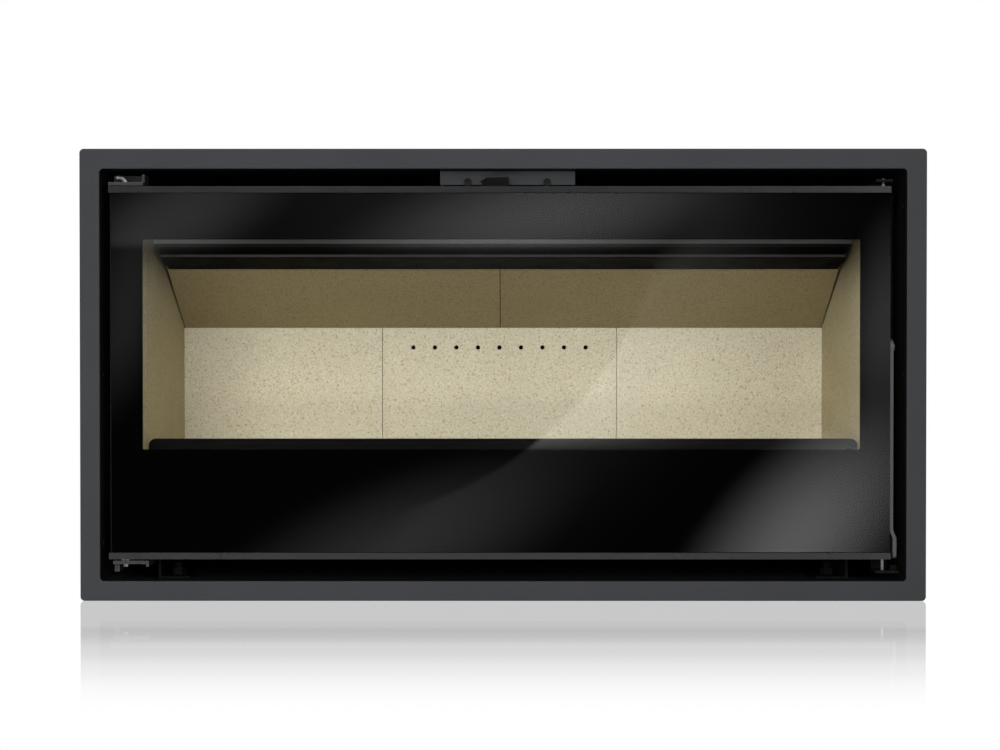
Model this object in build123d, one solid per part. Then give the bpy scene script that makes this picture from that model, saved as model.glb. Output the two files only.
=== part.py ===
from build123d import *
import os
from math import atan2, cos, radians, sin, tan

# A landscape wood-burning fireplace insert. X runs to the right, Y to the back, Z up, in millimetres.
# The origin is the bottom centre of the whole insert. A depth is counted back from the frame's face.

# Clearances
fit_gap = 0.3
running_gap = 0.05
sliding_gap = 0.5

# Modelling: how far a cut runs past a face, the reach of an edge pick and the least corner radius
cut = 1.0
edge_pick = 0.01
least_radius = 0.5

# Surround frame
frame_width = 1048.0
frame_height = 560.0
frame_face = 25.0
frame_sheet = 3.0
frame_outer_return = 14.0
frame_inner_return = 28.0
frame_outer_radius = 5.5
frame_inner_radius = 5.0
frame_bend = 2.0
frame_screw_depth = 21.0
frame_screw_inset = 70.0

# Casing
casing_sheet = 2.0
casing_depth = 402.0
duct_gap = 3.0
flue_radius = 100.0
flue_wall = 2.0
flue_height = 30.0
flue_back_gap = 6.6
flue_flange = 10.0
air_inlet_radius = 50.0
air_inlet_wall = 1.5
air_inlet_flange_radius = 62.0
air_inlet_length = 45.0
air_inlet_floor_gap = 6.0
air_hood_depth = 30.0
air_hood_margin = 8.0
foot_radius = 5.0
foot_pad_radius = 16.0
foot_pad_height = 6.0
foot_nut_radius = 9.0
foot_nut_height = 8.0
foot_stem_end = 40.0
foot_front_inset = 34.0
foot_back_inset = 7.6
support_rail_width = 40.0
support_rail_sheet = 3.0
support_rail_inset = 65.0
support_rail_height = 99.0
air_duct_sheet = 2.0
air_duct_depth = 20.0
air_duct_margin = 16.0
air_duct_floor_gap = 5.0
air_duct_rise = 20.0
screw_radius = 2.5
screw_head_radius = 4.5
screw_head = 2.5

# Firebox
firebox_steel = 4.0
firebox_side_gap = 22.0
firebox_head_gap = 29.0
plate_depth = 42.0
front_plate_rise = 24.0
front_plate_lip = 2.0
front_plate_edge = 10.0
front_plate_radius = 4.0
plate_opening_inset = 25.0
plate_opening_drop = 50.0

# Lining
brick = 30.0
side_brick_front = 25.4
side_brick_back = 31.9
side_brick_head_gap = 40.0
hearth_brick = 40.0
brick_joint = 0.6
chamber_depth = 297.0
centre_brick_width = 325.0
centre_brick_offset = -5.0
baffle_thickness = 25.0
baffle_length = 142.0
baffle_rise = 78.0
baffle_drop = 84.0
baffle_joint_x = -4.0
baffle_overhang = 12.0
air_hole_count = 9
air_hole_pitch = 30.0
air_hole_radius = 3.0
air_hole_drop = 28.0
grate_width = 200.0
grate_length = 140.0
grate_depth = 187.0
grate_wall = 6.0
grate_plate = 10.0
grate_slots = 8
grate_slot_width = 9.0
ash_sheet = 2.0
ash_well_height = 66.0
ash_pan_height = 48.0
ash_pan_gap = 3.0
ash_strap_width = 16.0

# Air deflector, baffle rail and log retainer
deflector_end_gap = 10.0
deflector_sheet = 2.0
deflector_lip_inset = 4.0
deflector_knee_inset = 34.0
deflector_drop = 63.0
deflector_lip = 11.0
deflector_rise = 21.0
deflector_foot = 12.0
rail_gap = 3.0
rail_drop = 76.0
rail_lip = 17.0
rail_sheet = 3.0
rail_end_gap = 10.0
rail_hanger_inset = 80.0
rail_hanger_width = 30.0
retainer_end_gap = 3.0
retainer_sheet = 3.0
retainer_gap = 0.6
retainer_tuck = 15.0
retainer_rise = 34.5
retainer_radius = 9.0
retainer_leg_inset = 147.0
retainer_leg_width = 40.0

# Door
door_left_gap = 10.0
door_right_gap = 18.5
door_head_gap = 21.0
door_foot_gap = 2.5
rail_front_depth = 4.0
glass_rail_sheet = 2.0
glass_rail_height = 8.0
gasket = 2.0
glass_thickness = 4.0
glass_rail_overlap = 5.0
glass_left_inset = 2.5
print_thickness = 0.5
window_border_left = 41.2
window_border_right = 37.2
window_border_bottom = 136.0
window_border_top = 65.6
window_radius = 1.5
glass_corner_radius = 1.0
glass_gasket_inset = 0.8
door_sheet = 2.0
door_thickness = 28.0
door_edge_inset = 0.5
seal_side_margin = 7.0
seal_bottom_margin = 13.0
seal_top_margin = 10.0
seal_width = 10.0
seal_height = 12.0
seal_wall = 2.0
seal_lip = 4.0
seal_rounding = 0.33

# Hinges
hinge_inset = 18.0
hinge_depth = 20.0
hinge_pin_radius = 4.0
hinge_bush_radius = 5.5
hinge_bush_length = 28.0
hinge_plate = 4.0
upper_leaf_gap = 1.5
washer_radius = 8.0
pin_bend_radius = 5.5
pin_bent_end = 5.0
lower_pin_stub = 4.0
upper_leaf_left = 19.0
upper_leaf_right = 24.0
upper_bracket_rise = 16.0
lower_leaf_left = 14.0
lower_leaf_right = 30.0
bracket_web = 3.0

# Handle and bolt rods
lever_gap = 0.8
lever_thickness = 4.5
lever_front_depth = 15.0
lever_back_depth = 33.0
lever_pivot_rise = 263.5
lever_pivot_depth = 24.0
lever_drop = 0.5
lever_joggle_start = 25.5
lever_joggle = 4.2
lever_joggle_rise = 10.0
lever_end_radius = 6.0
lever_angle = 45.0
lever_head_radius = 10.0
shaft_radius = 5.0
crank_radius = 7.2
crank_rim = 0.3
crank_pin_radius = 1.75
crank_thickness = 2.0
crank_pin_length = 4.3
bearing_radius = 7.2
bearing_lip = 0.4
lever_bolt_head = 2.5
crank_slack = 0.35
crank_slot_end = 2.0
rod_radius = 2.5
rod_inset = 6.0
rod_depth = 26.0
rod_eye_thickness = 3.0
rod_eye_wall = 3.0
rod_eye_edge = 2.0
rod_eye_gap = 0.8
rod_eye_side_gap = 1.0
rod_eye_start = 18.0
rod_eye_length = 30.0
lower_eye_gap = 1.4
rod_tip_height = 8.0
rod_tip_radius = 1.2
upper_rod_rise = 11.0
lower_rod_drop = 19.5
rod_guide_length = 14.0
rod_guide_width = 10.0
rod_guide_offset = 6.0
keeper_sheet = 3.0
keeper_width = 20.0
keeper_hole_gap = 0.8
upper_keeper_rise = 6.5
lower_keeper_drop = 18.5
keeper_reach = 10.0
keeper_foot = 30.0
keeper_tab_height = 9.0
keeper_tab_width = 8.0
bracket_foot = 34.0
bracket_reach = 10.0
bracket_tab_height = 7.5
bracket_block_width = 6.0
bracket_block_height = 10.5

# Air control
control_reach_left = 78.7
control_width = 168.7
control_height = 17.0
control_depth = 30.0
control_sheet = 2.5
control_screw_left = -44.0
control_screw_right = 55.0
control_screw_rise = 3.2
control_screw_radius = 4.8
control_screw_head = 4.0
control_screw_length = 10.0
control_socket_radius = 2.4
control_socket_depth = 2.0
control_leg_width = 20.0
air_lever_arm = 40.0
air_lever_sheet = 2.5
air_lever_width = 14.0
air_lever_reach = 89.0
air_lever_rest = 13.0
air_tab_height = 11.0
air_tab_right = 27.0
air_tab_left = 9.0
air_tab_tip = 6.6
air_tab_slope = 3.0
pivot_pin_radius = 4.0
pivot_shoulder_radius = 6.0
shutter_pin_radius = 3.0
shutter_pin_gap = 0.4
shutter_sheet = 2.0
shutter_end_gap = 50.0
shutter_inset = 18.0
shutter_width = 20.0
air_slot_length = 18.0
air_slot_width = 10.0
air_slot_margin = 20.0
air_slot_count = 14

# Worked-out places
half_width = frame_width / 2
opening_half = half_width - frame_face
opening_bottom = frame_face
opening_top = frame_height - frame_face
casing_half = opening_half + frame_sheet
casing_floor = opening_bottom - frame_sheet
casing_ceiling = opening_top + frame_sheet
overall_depth = casing_depth + air_inlet_length
air_inlet_height = casing_floor + air_inlet_flange_radius + air_inlet_floor_gap
firebox_half = casing_half - firebox_side_gap
firebox_floor_height = casing_floor + support_rail_height
firebox_top_height = casing_ceiling - firebox_head_gap
support_rail_x = firebox_half - support_rail_inset
plate_back = plate_depth + firebox_steel
floor_top = firebox_floor_height + firebox_steel
ceiling = firebox_top_height - firebox_steel
hearth_top = floor_top + hearth_brick
front_plate_bottom = opening_bottom + front_plate_rise
front_plate_half = firebox_half + front_plate_edge
plate_opening_half = firebox_half - plate_opening_inset
plate_opening_top = ceiling - plate_opening_drop
brick_outer_half = firebox_half - firebox_steel - brick_joint
brick_front_depth = plate_back + retainer_sheet + 2 * retainer_gap
brick_back = chamber_depth + brick
firebox_back = brick_back + brick_joint
chamber_half_front = brick_outer_half - side_brick_front
chamber_half_back = brick_outer_half - side_brick_back
side_brick_top = ceiling - side_brick_head_gap
baffle_front_depth = chamber_depth - baffle_length
baffle_front_height = ceiling - baffle_drop
back_brick_top = baffle_front_height - baffle_rise
air_hole_height = back_brick_top - air_hole_drop
air_duct_bottom = floor_top + air_duct_floor_gap
flue_depth = firebox_back + firebox_steel - flue_radius - flue_back_gap
foot_front_depth = plate_back + foot_front_inset
foot_back_depth = firebox_back - foot_back_inset
deflector_half_width = chamber_half_front - deflector_end_gap
deflector_lip_depth = plate_back + deflector_lip_inset
deflector_knee_depth = plate_back + deflector_knee_inset
deflector_lip_bottom = ceiling - deflector_drop
deflector_lip_top = deflector_lip_bottom + deflector_lip
deflector_knee_height = deflector_lip_top + deflector_rise
rail_depth = deflector_knee_depth + deflector_foot + rail_gap
rail_lip_bottom = ceiling - rail_drop
rail_lip_top = rail_lip_bottom + rail_lip
rail_half_width = chamber_half_front - rail_end_gap
rail_hanger_x = rail_half_width - rail_hanger_inset
retainer_half_width = chamber_half_front - retainer_end_gap
retainer_bottom = hearth_top - retainer_tuck
retainer_top = hearth_top + retainer_rise
retainer_leg_x = retainer_half_width - retainer_leg_inset
door_left = door_left_gap - opening_half
door_right = opening_half - door_right_gap
door_bottom = front_plate_bottom + door_foot_gap
door_top = opening_top - door_head_gap
glass_front = rail_front_depth + glass_rail_sheet + gasket
glass_back = glass_front + glass_thickness
print_back = glass_back + print_thickness
door_back = rail_front_depth + door_thickness
frame_left = door_left + door_edge_inset
frame_right = door_right - door_edge_inset
door_frame_bottom = door_bottom + glass_rail_sheet
door_frame_top = door_top - glass_rail_sheet
web_back = print_back + door_sheet
seal_back = plate_depth - fit_gap
seal_front = seal_back - seal_height
glass_left = door_left + glass_left_inset
glass_bottom = door_bottom + glass_rail_height - glass_rail_overlap
glass_top = door_top - glass_rail_height + glass_rail_overlap
hinge_x = door_left + hinge_inset
leaf_bottom = door_top + upper_leaf_gap
upper_bracket_top = door_top + upper_bracket_rise
lower_bracket_top = front_plate_bottom
lever_x = door_right + lever_gap
lever_outer_x = lever_x + lever_thickness
lever_pivot_height = door_bottom + lever_pivot_rise
lever_bottom = door_bottom - lever_drop
lever_joggle_height = door_bottom + lever_joggle_start
crank_x = frame_right - door_sheet - sliding_gap - crank_thickness
rod_x = door_right - rod_inset
upper_rod_top = door_top + upper_rod_rise
lower_rod_bottom = door_bottom - lower_rod_drop
upper_keeper_height = door_top + upper_keeper_rise
lower_keeper_height = door_bottom - lower_keeper_drop
shutter_bottom = firebox_top_height + fit_gap
shutter_half_width = firebox_half - shutter_end_gap
shutter_depth = plate_back + shutter_inset
air_slot_pitch = (2 * shutter_half_width - air_slot_margin) / air_slot_count
air_lever_pivot_depth = shutter_depth + air_lever_arm
air_lever_bottom = door_top + lever_gap
air_lever_top = air_lever_bottom + air_lever_sheet
control_left = -control_reach_left
control_right = control_width - control_reach_left
control_bottom = air_lever_top + sliding_gap
control_top = control_bottom + control_height
control_screw_height = control_bottom + control_screw_rise
control_leg_front = shutter_depth + shutter_width / 2 + sliding_gap


def place(depth):
    """Y of a depth behind the frame's face."""
    return depth - overall_depth / 2


def block(x0, x1, depth0, depth1, z0, z1):
    """A plain block between two X, two depths and two heights."""
    middle = ((x0 + x1) / 2, place((depth0 + depth1) / 2), (z0 + z1) / 2)
    return Pos(*middle) * Box(abs(x1 - x0), abs(depth1 - depth0), abs(z1 - z0))


def panel(x0, x1, z0, z1, radius, depth0, depth1):
    """An upright rectangular panel with round corners."""
    outline = RectangleRounded(x1 - x0, z1 - z0, radius)
    sheet = Pos((x0 + x1) / 2, place(depth1), (z0 + z1) / 2) * Rot(90, 0, 0) * outline
    return extrude(sheet, depth1 - depth0)


def ring(outer, inner, depth0, depth1):
    """An upright rectangular ring: outer and inner are (x0, x1, z0, z1, radius)."""
    return panel(*outer, depth0, depth1) - panel(*inner, depth0 - cut, depth1 + cut)


def grow(bounds, amount):
    """The bounds (x0, x1, z0, z1, radius) moved out by an amount all round."""
    x0, x1, z0, z1, radius = bounds
    return (x0 - amount, x1 + amount, z0 - amount, z1 + amount, max(radius + amount, least_radius))


def rod_z(x, depth, z0, z1, radius):
    """An upright round rod."""
    return Pos(x, place(depth), (z0 + z1) / 2) * Cylinder(radius, z1 - z0)


def rod_x_axis(x0, x1, depth, z, radius):
    """A round rod along X."""
    return Pos((x0 + x1) / 2, place(depth), z) * Rot(0, 90, 0) * Cylinder(radius, x1 - x0)


def rod_y(x, depth0, depth1, z, radius):
    """A round rod along the depth."""
    return Pos(x, place((depth0 + depth1) / 2), z) * Rot(90, 0, 0) * Cylinder(radius, depth1 - depth0)


def profile_along_x(points, x0, x1):
    """A closed profile of (depth, height) points, extruded from x0 to x1."""
    corners = [(place(depth), z) for depth, z in points]
    face = Plane.YZ.offset(x0) * Polygon(*corners, align=None)
    return extrude(face, x1 - x0, dir=(1, 0, 0))


def profile_along_y(points, depth0, depth1):
    """A closed profile of (x, height) points, extruded from depth0 to depth1."""
    face = Pos(0, place(depth1), 0) * Rot(90, 0, 0) * Polygon(*points, align=None)
    return extrude(face, depth1 - depth0, dir=(0, -1, 0))


def profile_along_z(points, z0, z1):
    """A closed profile of (x, depth) points, extruded from z0 to z1."""
    corners = [(x, place(depth)) for x, depth in points]
    face = Plane.XY.offset(z0) * Polygon(*corners, align=None)
    return extrude(face, z1 - z0, dir=(0, 0, 1))


def thicken(points, thickness):
    """The closed outline of a folded strip whose centre line runs through the points."""
    left = []
    right = []
    for i, point in enumerate(points):
        here = Vector(*point)
        before = here - Vector(*points[i - 1]) if i else Vector(*points[1]) - here
        after = Vector(*points[i + 1]) - here if i + 1 < len(points) else before
        bisector = (before.normalized() + after.normalized()).normalized()
        reach = thickness / 2 / bisector.dot(after.normalized())
        side = Vector(-bisector.Y, bisector.X) * reach
        left.append(tuple(here + side)[:2])
        right.append(tuple(here - side)[:2])
    return left + right[::-1]


def folded_strip(points, sheet, x0, x1):
    """A sheet folded along X, with its centre line through (depth, height) points."""
    return profile_along_x(thicken(points, sheet), x0, x1)


def baffle_underside(depth):
    """Height of the sloping underside of the baffle at a depth."""
    slope = (baffle_front_height - back_brick_top) / (chamber_depth - baffle_front_depth)
    return back_brick_top + (chamber_depth - depth) * slope


# Worked-out bounds, each (x0, x1, z0, z1, corner radius)
frame_outline = (-half_width, half_width, 0, frame_height, frame_outer_radius)
frame_opening = (-opening_half, opening_half, opening_bottom, opening_top, frame_inner_radius)
plate_opening = (-plate_opening_half, plate_opening_half, hearth_top, plate_opening_top, front_plate_radius)
front_plate_outline = (-front_plate_half, front_plate_half, front_plate_bottom,
                       firebox_top_height + front_plate_lip, front_plate_radius)
door_frame_outline = (frame_left, frame_right, door_frame_bottom, door_frame_top, door_sheet)
seal_line = (-plate_opening_half - seal_side_margin, plate_opening_half + seal_side_margin,
             hearth_top - seal_bottom_margin, plate_opening_top + seal_top_margin, seal_width)
glass_outline = (glass_left, door_right, glass_bottom, glass_top, glass_corner_radius)
window = (door_left + window_border_left, door_right - window_border_right,
          door_bottom + window_border_bottom, door_top - window_border_top, window_radius)


def surround_frame():
    """Folded face with a return round the outside and a deeper one round the opening."""
    face = ring(frame_outline, frame_opening, 0, frame_sheet)
    outer = ring(frame_outline, grow(frame_outline, -frame_sheet), 0, frame_outer_return)
    inner = ring(grow(frame_opening, frame_sheet), frame_opening, 0, frame_inner_return)
    frame = face + outer + inner
    front_edges = frame.edges().filter_by_position(Axis.Y, place(0) - edge_pick, place(0) + edge_pick)
    frame = fillet(front_edges, frame_bend)
    return frame - frame_screw_holes()


def frame_screw_heights():
    """Heights of the screws that hold the surround frame to the casing's sides."""
    return [frame_screw_inset, frame_height / 2, frame_height - frame_screw_inset]


def frame_screw_holes():
    """Holes for the surround frame's screws, in both sides."""
    holes = []
    for side in (-1, 1):
        for height in frame_screw_heights():
            ends = sorted((side * (opening_half - cut), side * (half_width - frame_sheet - cut)))
            holes.append(rod_x_axis(*ends, frame_screw_depth, height, screw_radius + running_gap))
    return Compound(holes)


def surround_screws():
    """Six screws, driven from outside the casing into the frame's inner return."""
    outer = casing_half + casing_sheet
    screws = []
    for side in (-1, 1):
        for height in frame_screw_heights():
            stem = sorted((side * opening_half, side * outer))
            head = sorted((side * outer, side * (outer + screw_head)))
            screw = rod_x_axis(*stem, frame_screw_depth, height, screw_radius)
            screw += rod_x_axis(*head, frame_screw_depth, height, screw_head_radius)
            screws.append(screw)
    return screws


def foot_places():
    """The (x, depth) of each levelling foot."""
    return [(x, depth) for x in (-support_rail_x, support_rail_x)
            for depth in (foot_front_depth, foot_back_depth)]


def casing_base():
    """Floor of the casing, with a hole for each levelling foot."""
    outer = casing_half + casing_sheet
    base = block(-outer, outer, frame_sheet, casing_depth, casing_floor - casing_sheet, casing_floor)
    for x, depth in foot_places():
        base -= rod_z(x, depth, 0, casing_floor + cut, foot_radius + fit_gap)
    return base


def casing_side(side):
    """Upright side of the casing: side is -1 at the left and 1 at the right."""
    x0, x1 = sorted((side * casing_half, side * (casing_half + casing_sheet)))
    wall = block(x0, x1, frame_sheet, casing_depth - casing_sheet, casing_floor, casing_ceiling)
    return wall - frame_screw_holes()


def casing_top():
    """Roof of the casing, with the hole that the flue collar passes."""
    outer = casing_half + casing_sheet
    roof = block(-outer, outer, frame_sheet, casing_depth, casing_ceiling, casing_ceiling + casing_sheet)
    return roof - rod_z(0, flue_depth, ceiling, frame_height, flue_radius + duct_gap)


def casing_back():
    """Back of the casing, with the hole of the air inlet."""
    outer = casing_half + casing_sheet
    back = block(-outer, outer, casing_depth - casing_sheet, casing_depth, casing_floor, casing_ceiling)
    return back - rod_y(0, casing_depth - casing_sheet - cut, casing_depth + cut, air_inlet_height,
                        air_inlet_radius + fit_gap)


def air_inlet_spigot():
    """Spigot for the combustion air duct: a flange on the casing's back and an upturned hood inside."""
    inside = casing_depth - casing_sheet
    end = casing_depth + air_inlet_length
    tube = rod_y(0, inside, end, air_inlet_height, air_inlet_radius)
    flange = rod_y(0, casing_depth, casing_depth + air_inlet_wall, air_inlet_height,
                   air_inlet_flange_radius)
    half = air_inlet_radius + air_hood_margin
    bottom = air_inlet_height - half
    top = air_inlet_height + half
    front = inside - air_hood_depth
    hood = block(-half, half, front, inside, bottom, top)
    hood -= block(air_inlet_wall - half, half - air_inlet_wall, front + air_inlet_wall,
                  inside - air_inlet_wall, bottom + air_inlet_wall, top + cut)
    bore = rod_y(0, inside - air_inlet_wall - cut, end + cut, air_inlet_height,
                 air_inlet_radius - air_inlet_wall)
    return tube + flange + hood - bore


def levelling_feet():
    """Four screw feet, each with its pad, stem and lock nut."""
    feet = []
    for x, depth in foot_places():
        foot = rod_z(x, depth, 0, foot_pad_height, foot_pad_radius)
        foot += rod_z(x, depth, 0, foot_stem_end, foot_radius)
        nut = Pos(x, place(depth), casing_floor + support_rail_sheet) * RegularPolygon(foot_nut_radius, 6)
        feet.append(foot + extrude(nut, foot_nut_height))
    return feet


def support_rail(side):
    """Channel that carries the firebox on the casing's floor, open towards the middle."""
    web_x = side * (support_rail_x + support_rail_width / 2)
    inner_x = side * (support_rail_x - support_rail_width / 2)
    x0, x1 = sorted((web_x, inner_x))
    channel = block(x0, x1, plate_back, firebox_back, casing_floor, firebox_floor_height)
    hollow_x0, hollow_x1 = sorted((web_x - side * support_rail_sheet, inner_x - side * cut))
    hollow_z0 = casing_floor + support_rail_sheet
    hollow_z1 = firebox_floor_height - support_rail_sheet
    channel -= block(hollow_x0, hollow_x1, 0, casing_depth, hollow_z0, hollow_z1)
    for x, depth in foot_places():
        channel -= rod_z(x, depth, casing_floor - cut, hollow_z0 + cut, foot_radius + fit_gap)
    return channel


def firebox_floor():
    """Floor plate with the opening that the embers fall through."""
    plate = block(-firebox_half, firebox_half, plate_back, firebox_back + firebox_steel,
                  firebox_floor_height, floor_top)
    return plate - ash_opening(0)


def ash_opening(margin):
    """The upright shaft between grate and ash pan, grown by a margin."""
    half_x = grate_width / 2 - grate_wall - brick_joint + margin
    half_y = grate_length / 2 - grate_wall - brick_joint + margin
    return block(-half_x, half_x, grate_depth - half_y, grate_depth + half_y, casing_floor, floor_top + cut)


def firebox_wall(side):
    """Side wall between floor and top plate."""
    x0, x1 = sorted((side * (firebox_half - firebox_steel), side * firebox_half))
    return block(x0, x1, plate_back, firebox_back, floor_top, ceiling)


def firebox_back_wall():
    """Back wall with the slot that feeds the nine air holes."""
    wall = block(-firebox_half, firebox_half, firebox_back, firebox_back + firebox_steel, floor_top, ceiling)
    x0, x1 = air_hole_span()
    return wall - block(x0, x1, firebox_back - cut, firebox_back + firebox_steel + cut,
                        air_hole_height - air_slot_width, air_hole_height + air_slot_width)


def air_hole_span():
    """The X span that holds the row of air holes, with a hole's diameter to spare at each end."""
    half_row = (air_hole_count - 1) * air_hole_pitch / 2 + 2 * air_hole_radius
    return centre_hole_x() - half_row, centre_hole_x() + half_row


def centre_hole_x():
    """X of the middle air hole, above the middle of the centre back brick."""
    return centre_brick_offset


def secondary_air_duct():
    """Open-bottomed channel behind the back wall that brings air to the row of holes."""
    x0, x1 = air_hole_span()
    x0 -= air_duct_margin
    x1 += air_duct_margin
    front = firebox_back + firebox_steel
    top = air_hole_height + air_slot_width + air_duct_rise
    duct = block(x0, x1, front, front + air_duct_depth, air_duct_bottom, top)
    hollow_front = front - cut
    hollow_back = front + air_duct_depth - air_duct_sheet
    return duct - block(x0 + air_duct_sheet, x1 - air_duct_sheet, hollow_front, hollow_back,
                        air_duct_bottom - cut, top - air_duct_sheet)


def air_slot_row(z0, z1):
    """The row of slots shared by the top plate and the shutter."""
    slots = []
    first = -(air_slot_count - 1) * air_slot_pitch / 2
    front = shutter_depth - air_slot_width / 2
    for i in range(air_slot_count):
        left = first + i * air_slot_pitch - air_slot_length / 2
        slots.append(block(left, left + air_slot_length, front, front + air_slot_width, z0, z1))
    return Compound(slots)


def firebox_top():
    """Top plate with the flue's hole and the row of air slots behind the glass."""
    plate = block(-firebox_half, firebox_half, plate_back, firebox_back + firebox_steel,
                  ceiling, firebox_top_height)
    plate -= rod_z(0, flue_depth, ceiling - cut, firebox_top_height + cut, flue_radius)
    return plate - air_slot_row(ceiling - cut, firebox_top_height + cut)


def firebox_front_plate():
    """Front plate that the door seals against."""
    return ring(front_plate_outline, plate_opening, plate_depth, plate_back)


def flue_collar():
    """Round collar from the firebox's top plate up through the casing's roof."""
    top = casing_ceiling + casing_sheet + flue_height
    tube = rod_z(0, flue_depth, ceiling, top, flue_radius)
    flange = rod_z(0, flue_depth, firebox_top_height, firebox_top_height + flue_wall,
                   flue_radius + flue_flange)
    return tube + flange - rod_z(0, flue_depth, ceiling - cut, top + cut, flue_radius - flue_wall)


def above_baffle_underside():
    """Everything above the baffle's underside, less the joint that the bricks are laid with."""
    front = plate_back
    back = casing_depth
    points = [(front, baffle_underside(front) - brick_joint), (back, baffle_underside(back) - brick_joint),
              (back, frame_height), (front, frame_height)]
    return profile_along_x(points, -half_width, half_width)


def back_bricks():
    """Three upright bricks; the centre one is a little lower and has the row of air holes."""
    centre_left = centre_brick_offset - centre_brick_width / 2
    centre_right = centre_brick_offset + centre_brick_width / 2
    spans = {
        "back_brick_left": (-brick_outer_half, centre_left - brick_joint),
        "back_brick_centre": (centre_left, centre_right),
        "back_brick_right": (centre_right + brick_joint, brick_outer_half),
    }
    bricks = {}
    for name, (x0, x1) in spans.items():
        whole = block(x0, x1, chamber_depth, brick_back, hearth_top, side_brick_top)
        bricks[name] = whole - above_baffle_underside()
    for i in range(air_hole_count):
        x = centre_hole_x() + (i - (air_hole_count - 1) / 2) * air_hole_pitch
        bricks["back_brick_centre"] -= rod_y(x, chamber_depth - cut, brick_back + cut, air_hole_height,
                                             air_hole_radius)
    return bricks


def side_brick_at(side):
    """Side brick, its inner face drawn in towards the back."""
    back = chamber_depth - brick_joint
    points = [(side * brick_outer_half, brick_front_depth), (side * chamber_half_front, brick_front_depth),
              (side * chamber_half_back, back), (side * brick_outer_half, back)]
    return profile_along_z(points, hearth_top, side_brick_top)


def baffle_bricks():
    """Two sloping bricks that rise from the back bricks towards the front."""
    angle = atan2(baffle_front_height - back_brick_top, chamber_depth - baffle_front_depth)
    normal = (sin(angle) * baffle_thickness, cos(angle) * baffle_thickness)
    front = baffle_front_depth - baffle_overhang
    low_front = (front, baffle_underside(front))
    low_back = (brick_back, baffle_underside(brick_back))
    points = [low_front, low_back, (low_back[0], low_back[1] + baffle_thickness / cos(angle)),
              (front + normal[0], low_front[1] + normal[1])]
    half = chamber_half_back - brick_joint
    left = profile_along_x(points, -half, baffle_joint_x - brick_joint / 2)
    right = profile_along_x(points, baffle_joint_x + brick_joint / 2, half)
    return {"baffle_brick_left": left, "baffle_brick_right": right}


def hearth_bricks():
    """Two large hearth bricks, and a strip before and behind the grate."""
    half = grate_width / 2 + brick_joint
    grate_front = grate_depth - grate_length / 2
    grate_back = grate_depth + grate_length / 2
    return {
        "hearth_brick_left": block(-brick_outer_half, -half, brick_front_depth, brick_back,
                                   floor_top, hearth_top),
        "hearth_brick_right": block(half, brick_outer_half, brick_front_depth, brick_back,
                                    floor_top, hearth_top),
        "hearth_brick_front": block(-half + brick_joint, half - brick_joint, brick_front_depth,
                                    grate_front - brick_joint, floor_top, hearth_top),
        "hearth_brick_rear": block(-half + brick_joint, half - brick_joint, grate_back + brick_joint,
                                   brick_back, floor_top, hearth_top),
    }


def ember_grate():
    """Cast grate: a slotted plate on a deep rim that stands on the firebox floor."""
    half_x = grate_width / 2
    front = grate_depth - grate_length / 2
    back = grate_depth + grate_length / 2
    grate = block(-half_x, half_x, front, back, floor_top, hearth_top)
    grate -= block(-half_x + grate_wall, half_x - grate_wall, front + grate_wall, back - grate_wall,
                   floor_top - cut, hearth_top - grate_plate)
    pitch = (grate_width - 4 * grate_wall) / grate_slots
    for i in range(grate_slots):
        x = (i - (grate_slots - 1) / 2) * pitch
        grate -= block(x - grate_slot_width / 2, x + grate_slot_width / 2, front + 2 * grate_wall,
                       back - 2 * grate_wall, floor_top, hearth_top + cut)
    return grate


def ash_well():
    """Sheet box under the floor plate that holds the ash pan."""
    outside = ash_opening(ash_sheet) & block(-half_width, half_width, 0, casing_depth,
                                             firebox_floor_height - ash_well_height, firebox_floor_height)
    inside = ash_opening(0) & block(-half_width, half_width, 0, casing_depth,
                                    firebox_floor_height - ash_well_height + ash_sheet, frame_height)
    return outside - inside


def ash_pan():
    """Loose pan with a strap to lift it by."""
    bottom = firebox_floor_height - ash_well_height + ash_sheet + fit_gap
    top = bottom + ash_pan_height
    reach = block(-half_width, half_width, 0, casing_depth, bottom, top)
    pan = ash_opening(-ash_pan_gap) & reach
    pan -= ash_opening(-ash_pan_gap - ash_sheet) & block(-half_width, half_width, 0, casing_depth,
                                                         bottom + ash_sheet, frame_height)
    half_y = grate_length / 2 - grate_wall - brick_joint - ash_pan_gap
    strap = block(-ash_strap_width / 2, ash_strap_width / 2, grate_depth - half_y, grate_depth + half_y,
                  top - ash_sheet, top)
    return pan + strap


def air_deflector():
    """Bent sheet hung from the top plate that sends the air down behind the glass."""
    top = ceiling - deflector_sheet / 2
    points = [(deflector_knee_depth + deflector_foot, top), (deflector_knee_depth, top),
              (deflector_knee_depth, deflector_knee_height), (deflector_lip_depth, deflector_lip_top),
              (deflector_lip_depth, deflector_lip_bottom)]
    return folded_strip(points, deflector_sheet, -deflector_half_width, deflector_half_width)


def baffle_rail():
    """Folded rail under the front of the baffle, hung from the top plate by two straps."""
    rear_height = baffle_underside(baffle_front_depth) - fit_gap - rail_sheet / 2
    points = [(rail_depth, rail_lip_top), (rail_depth, rail_lip_bottom + rail_sheet / 2),
              (baffle_front_depth, rear_height)]
    rail = folded_strip(points, rail_sheet, -rail_half_width, rail_half_width)
    for x in (-rail_hanger_x, rail_hanger_x):
        strap = block(x - rail_hanger_width / 2, x + rail_hanger_width / 2, rail_depth - rail_sheet / 2,
                      rail_depth + rail_sheet / 2, rail_lip_bottom + rail_sheet, ceiling)
        foot = block(x - rail_hanger_width / 2, x + rail_hanger_width / 2, rail_depth,
                     rail_depth + rail_hanger_width, ceiling - rail_sheet, ceiling)
        rail += strap + foot
    return rail


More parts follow.
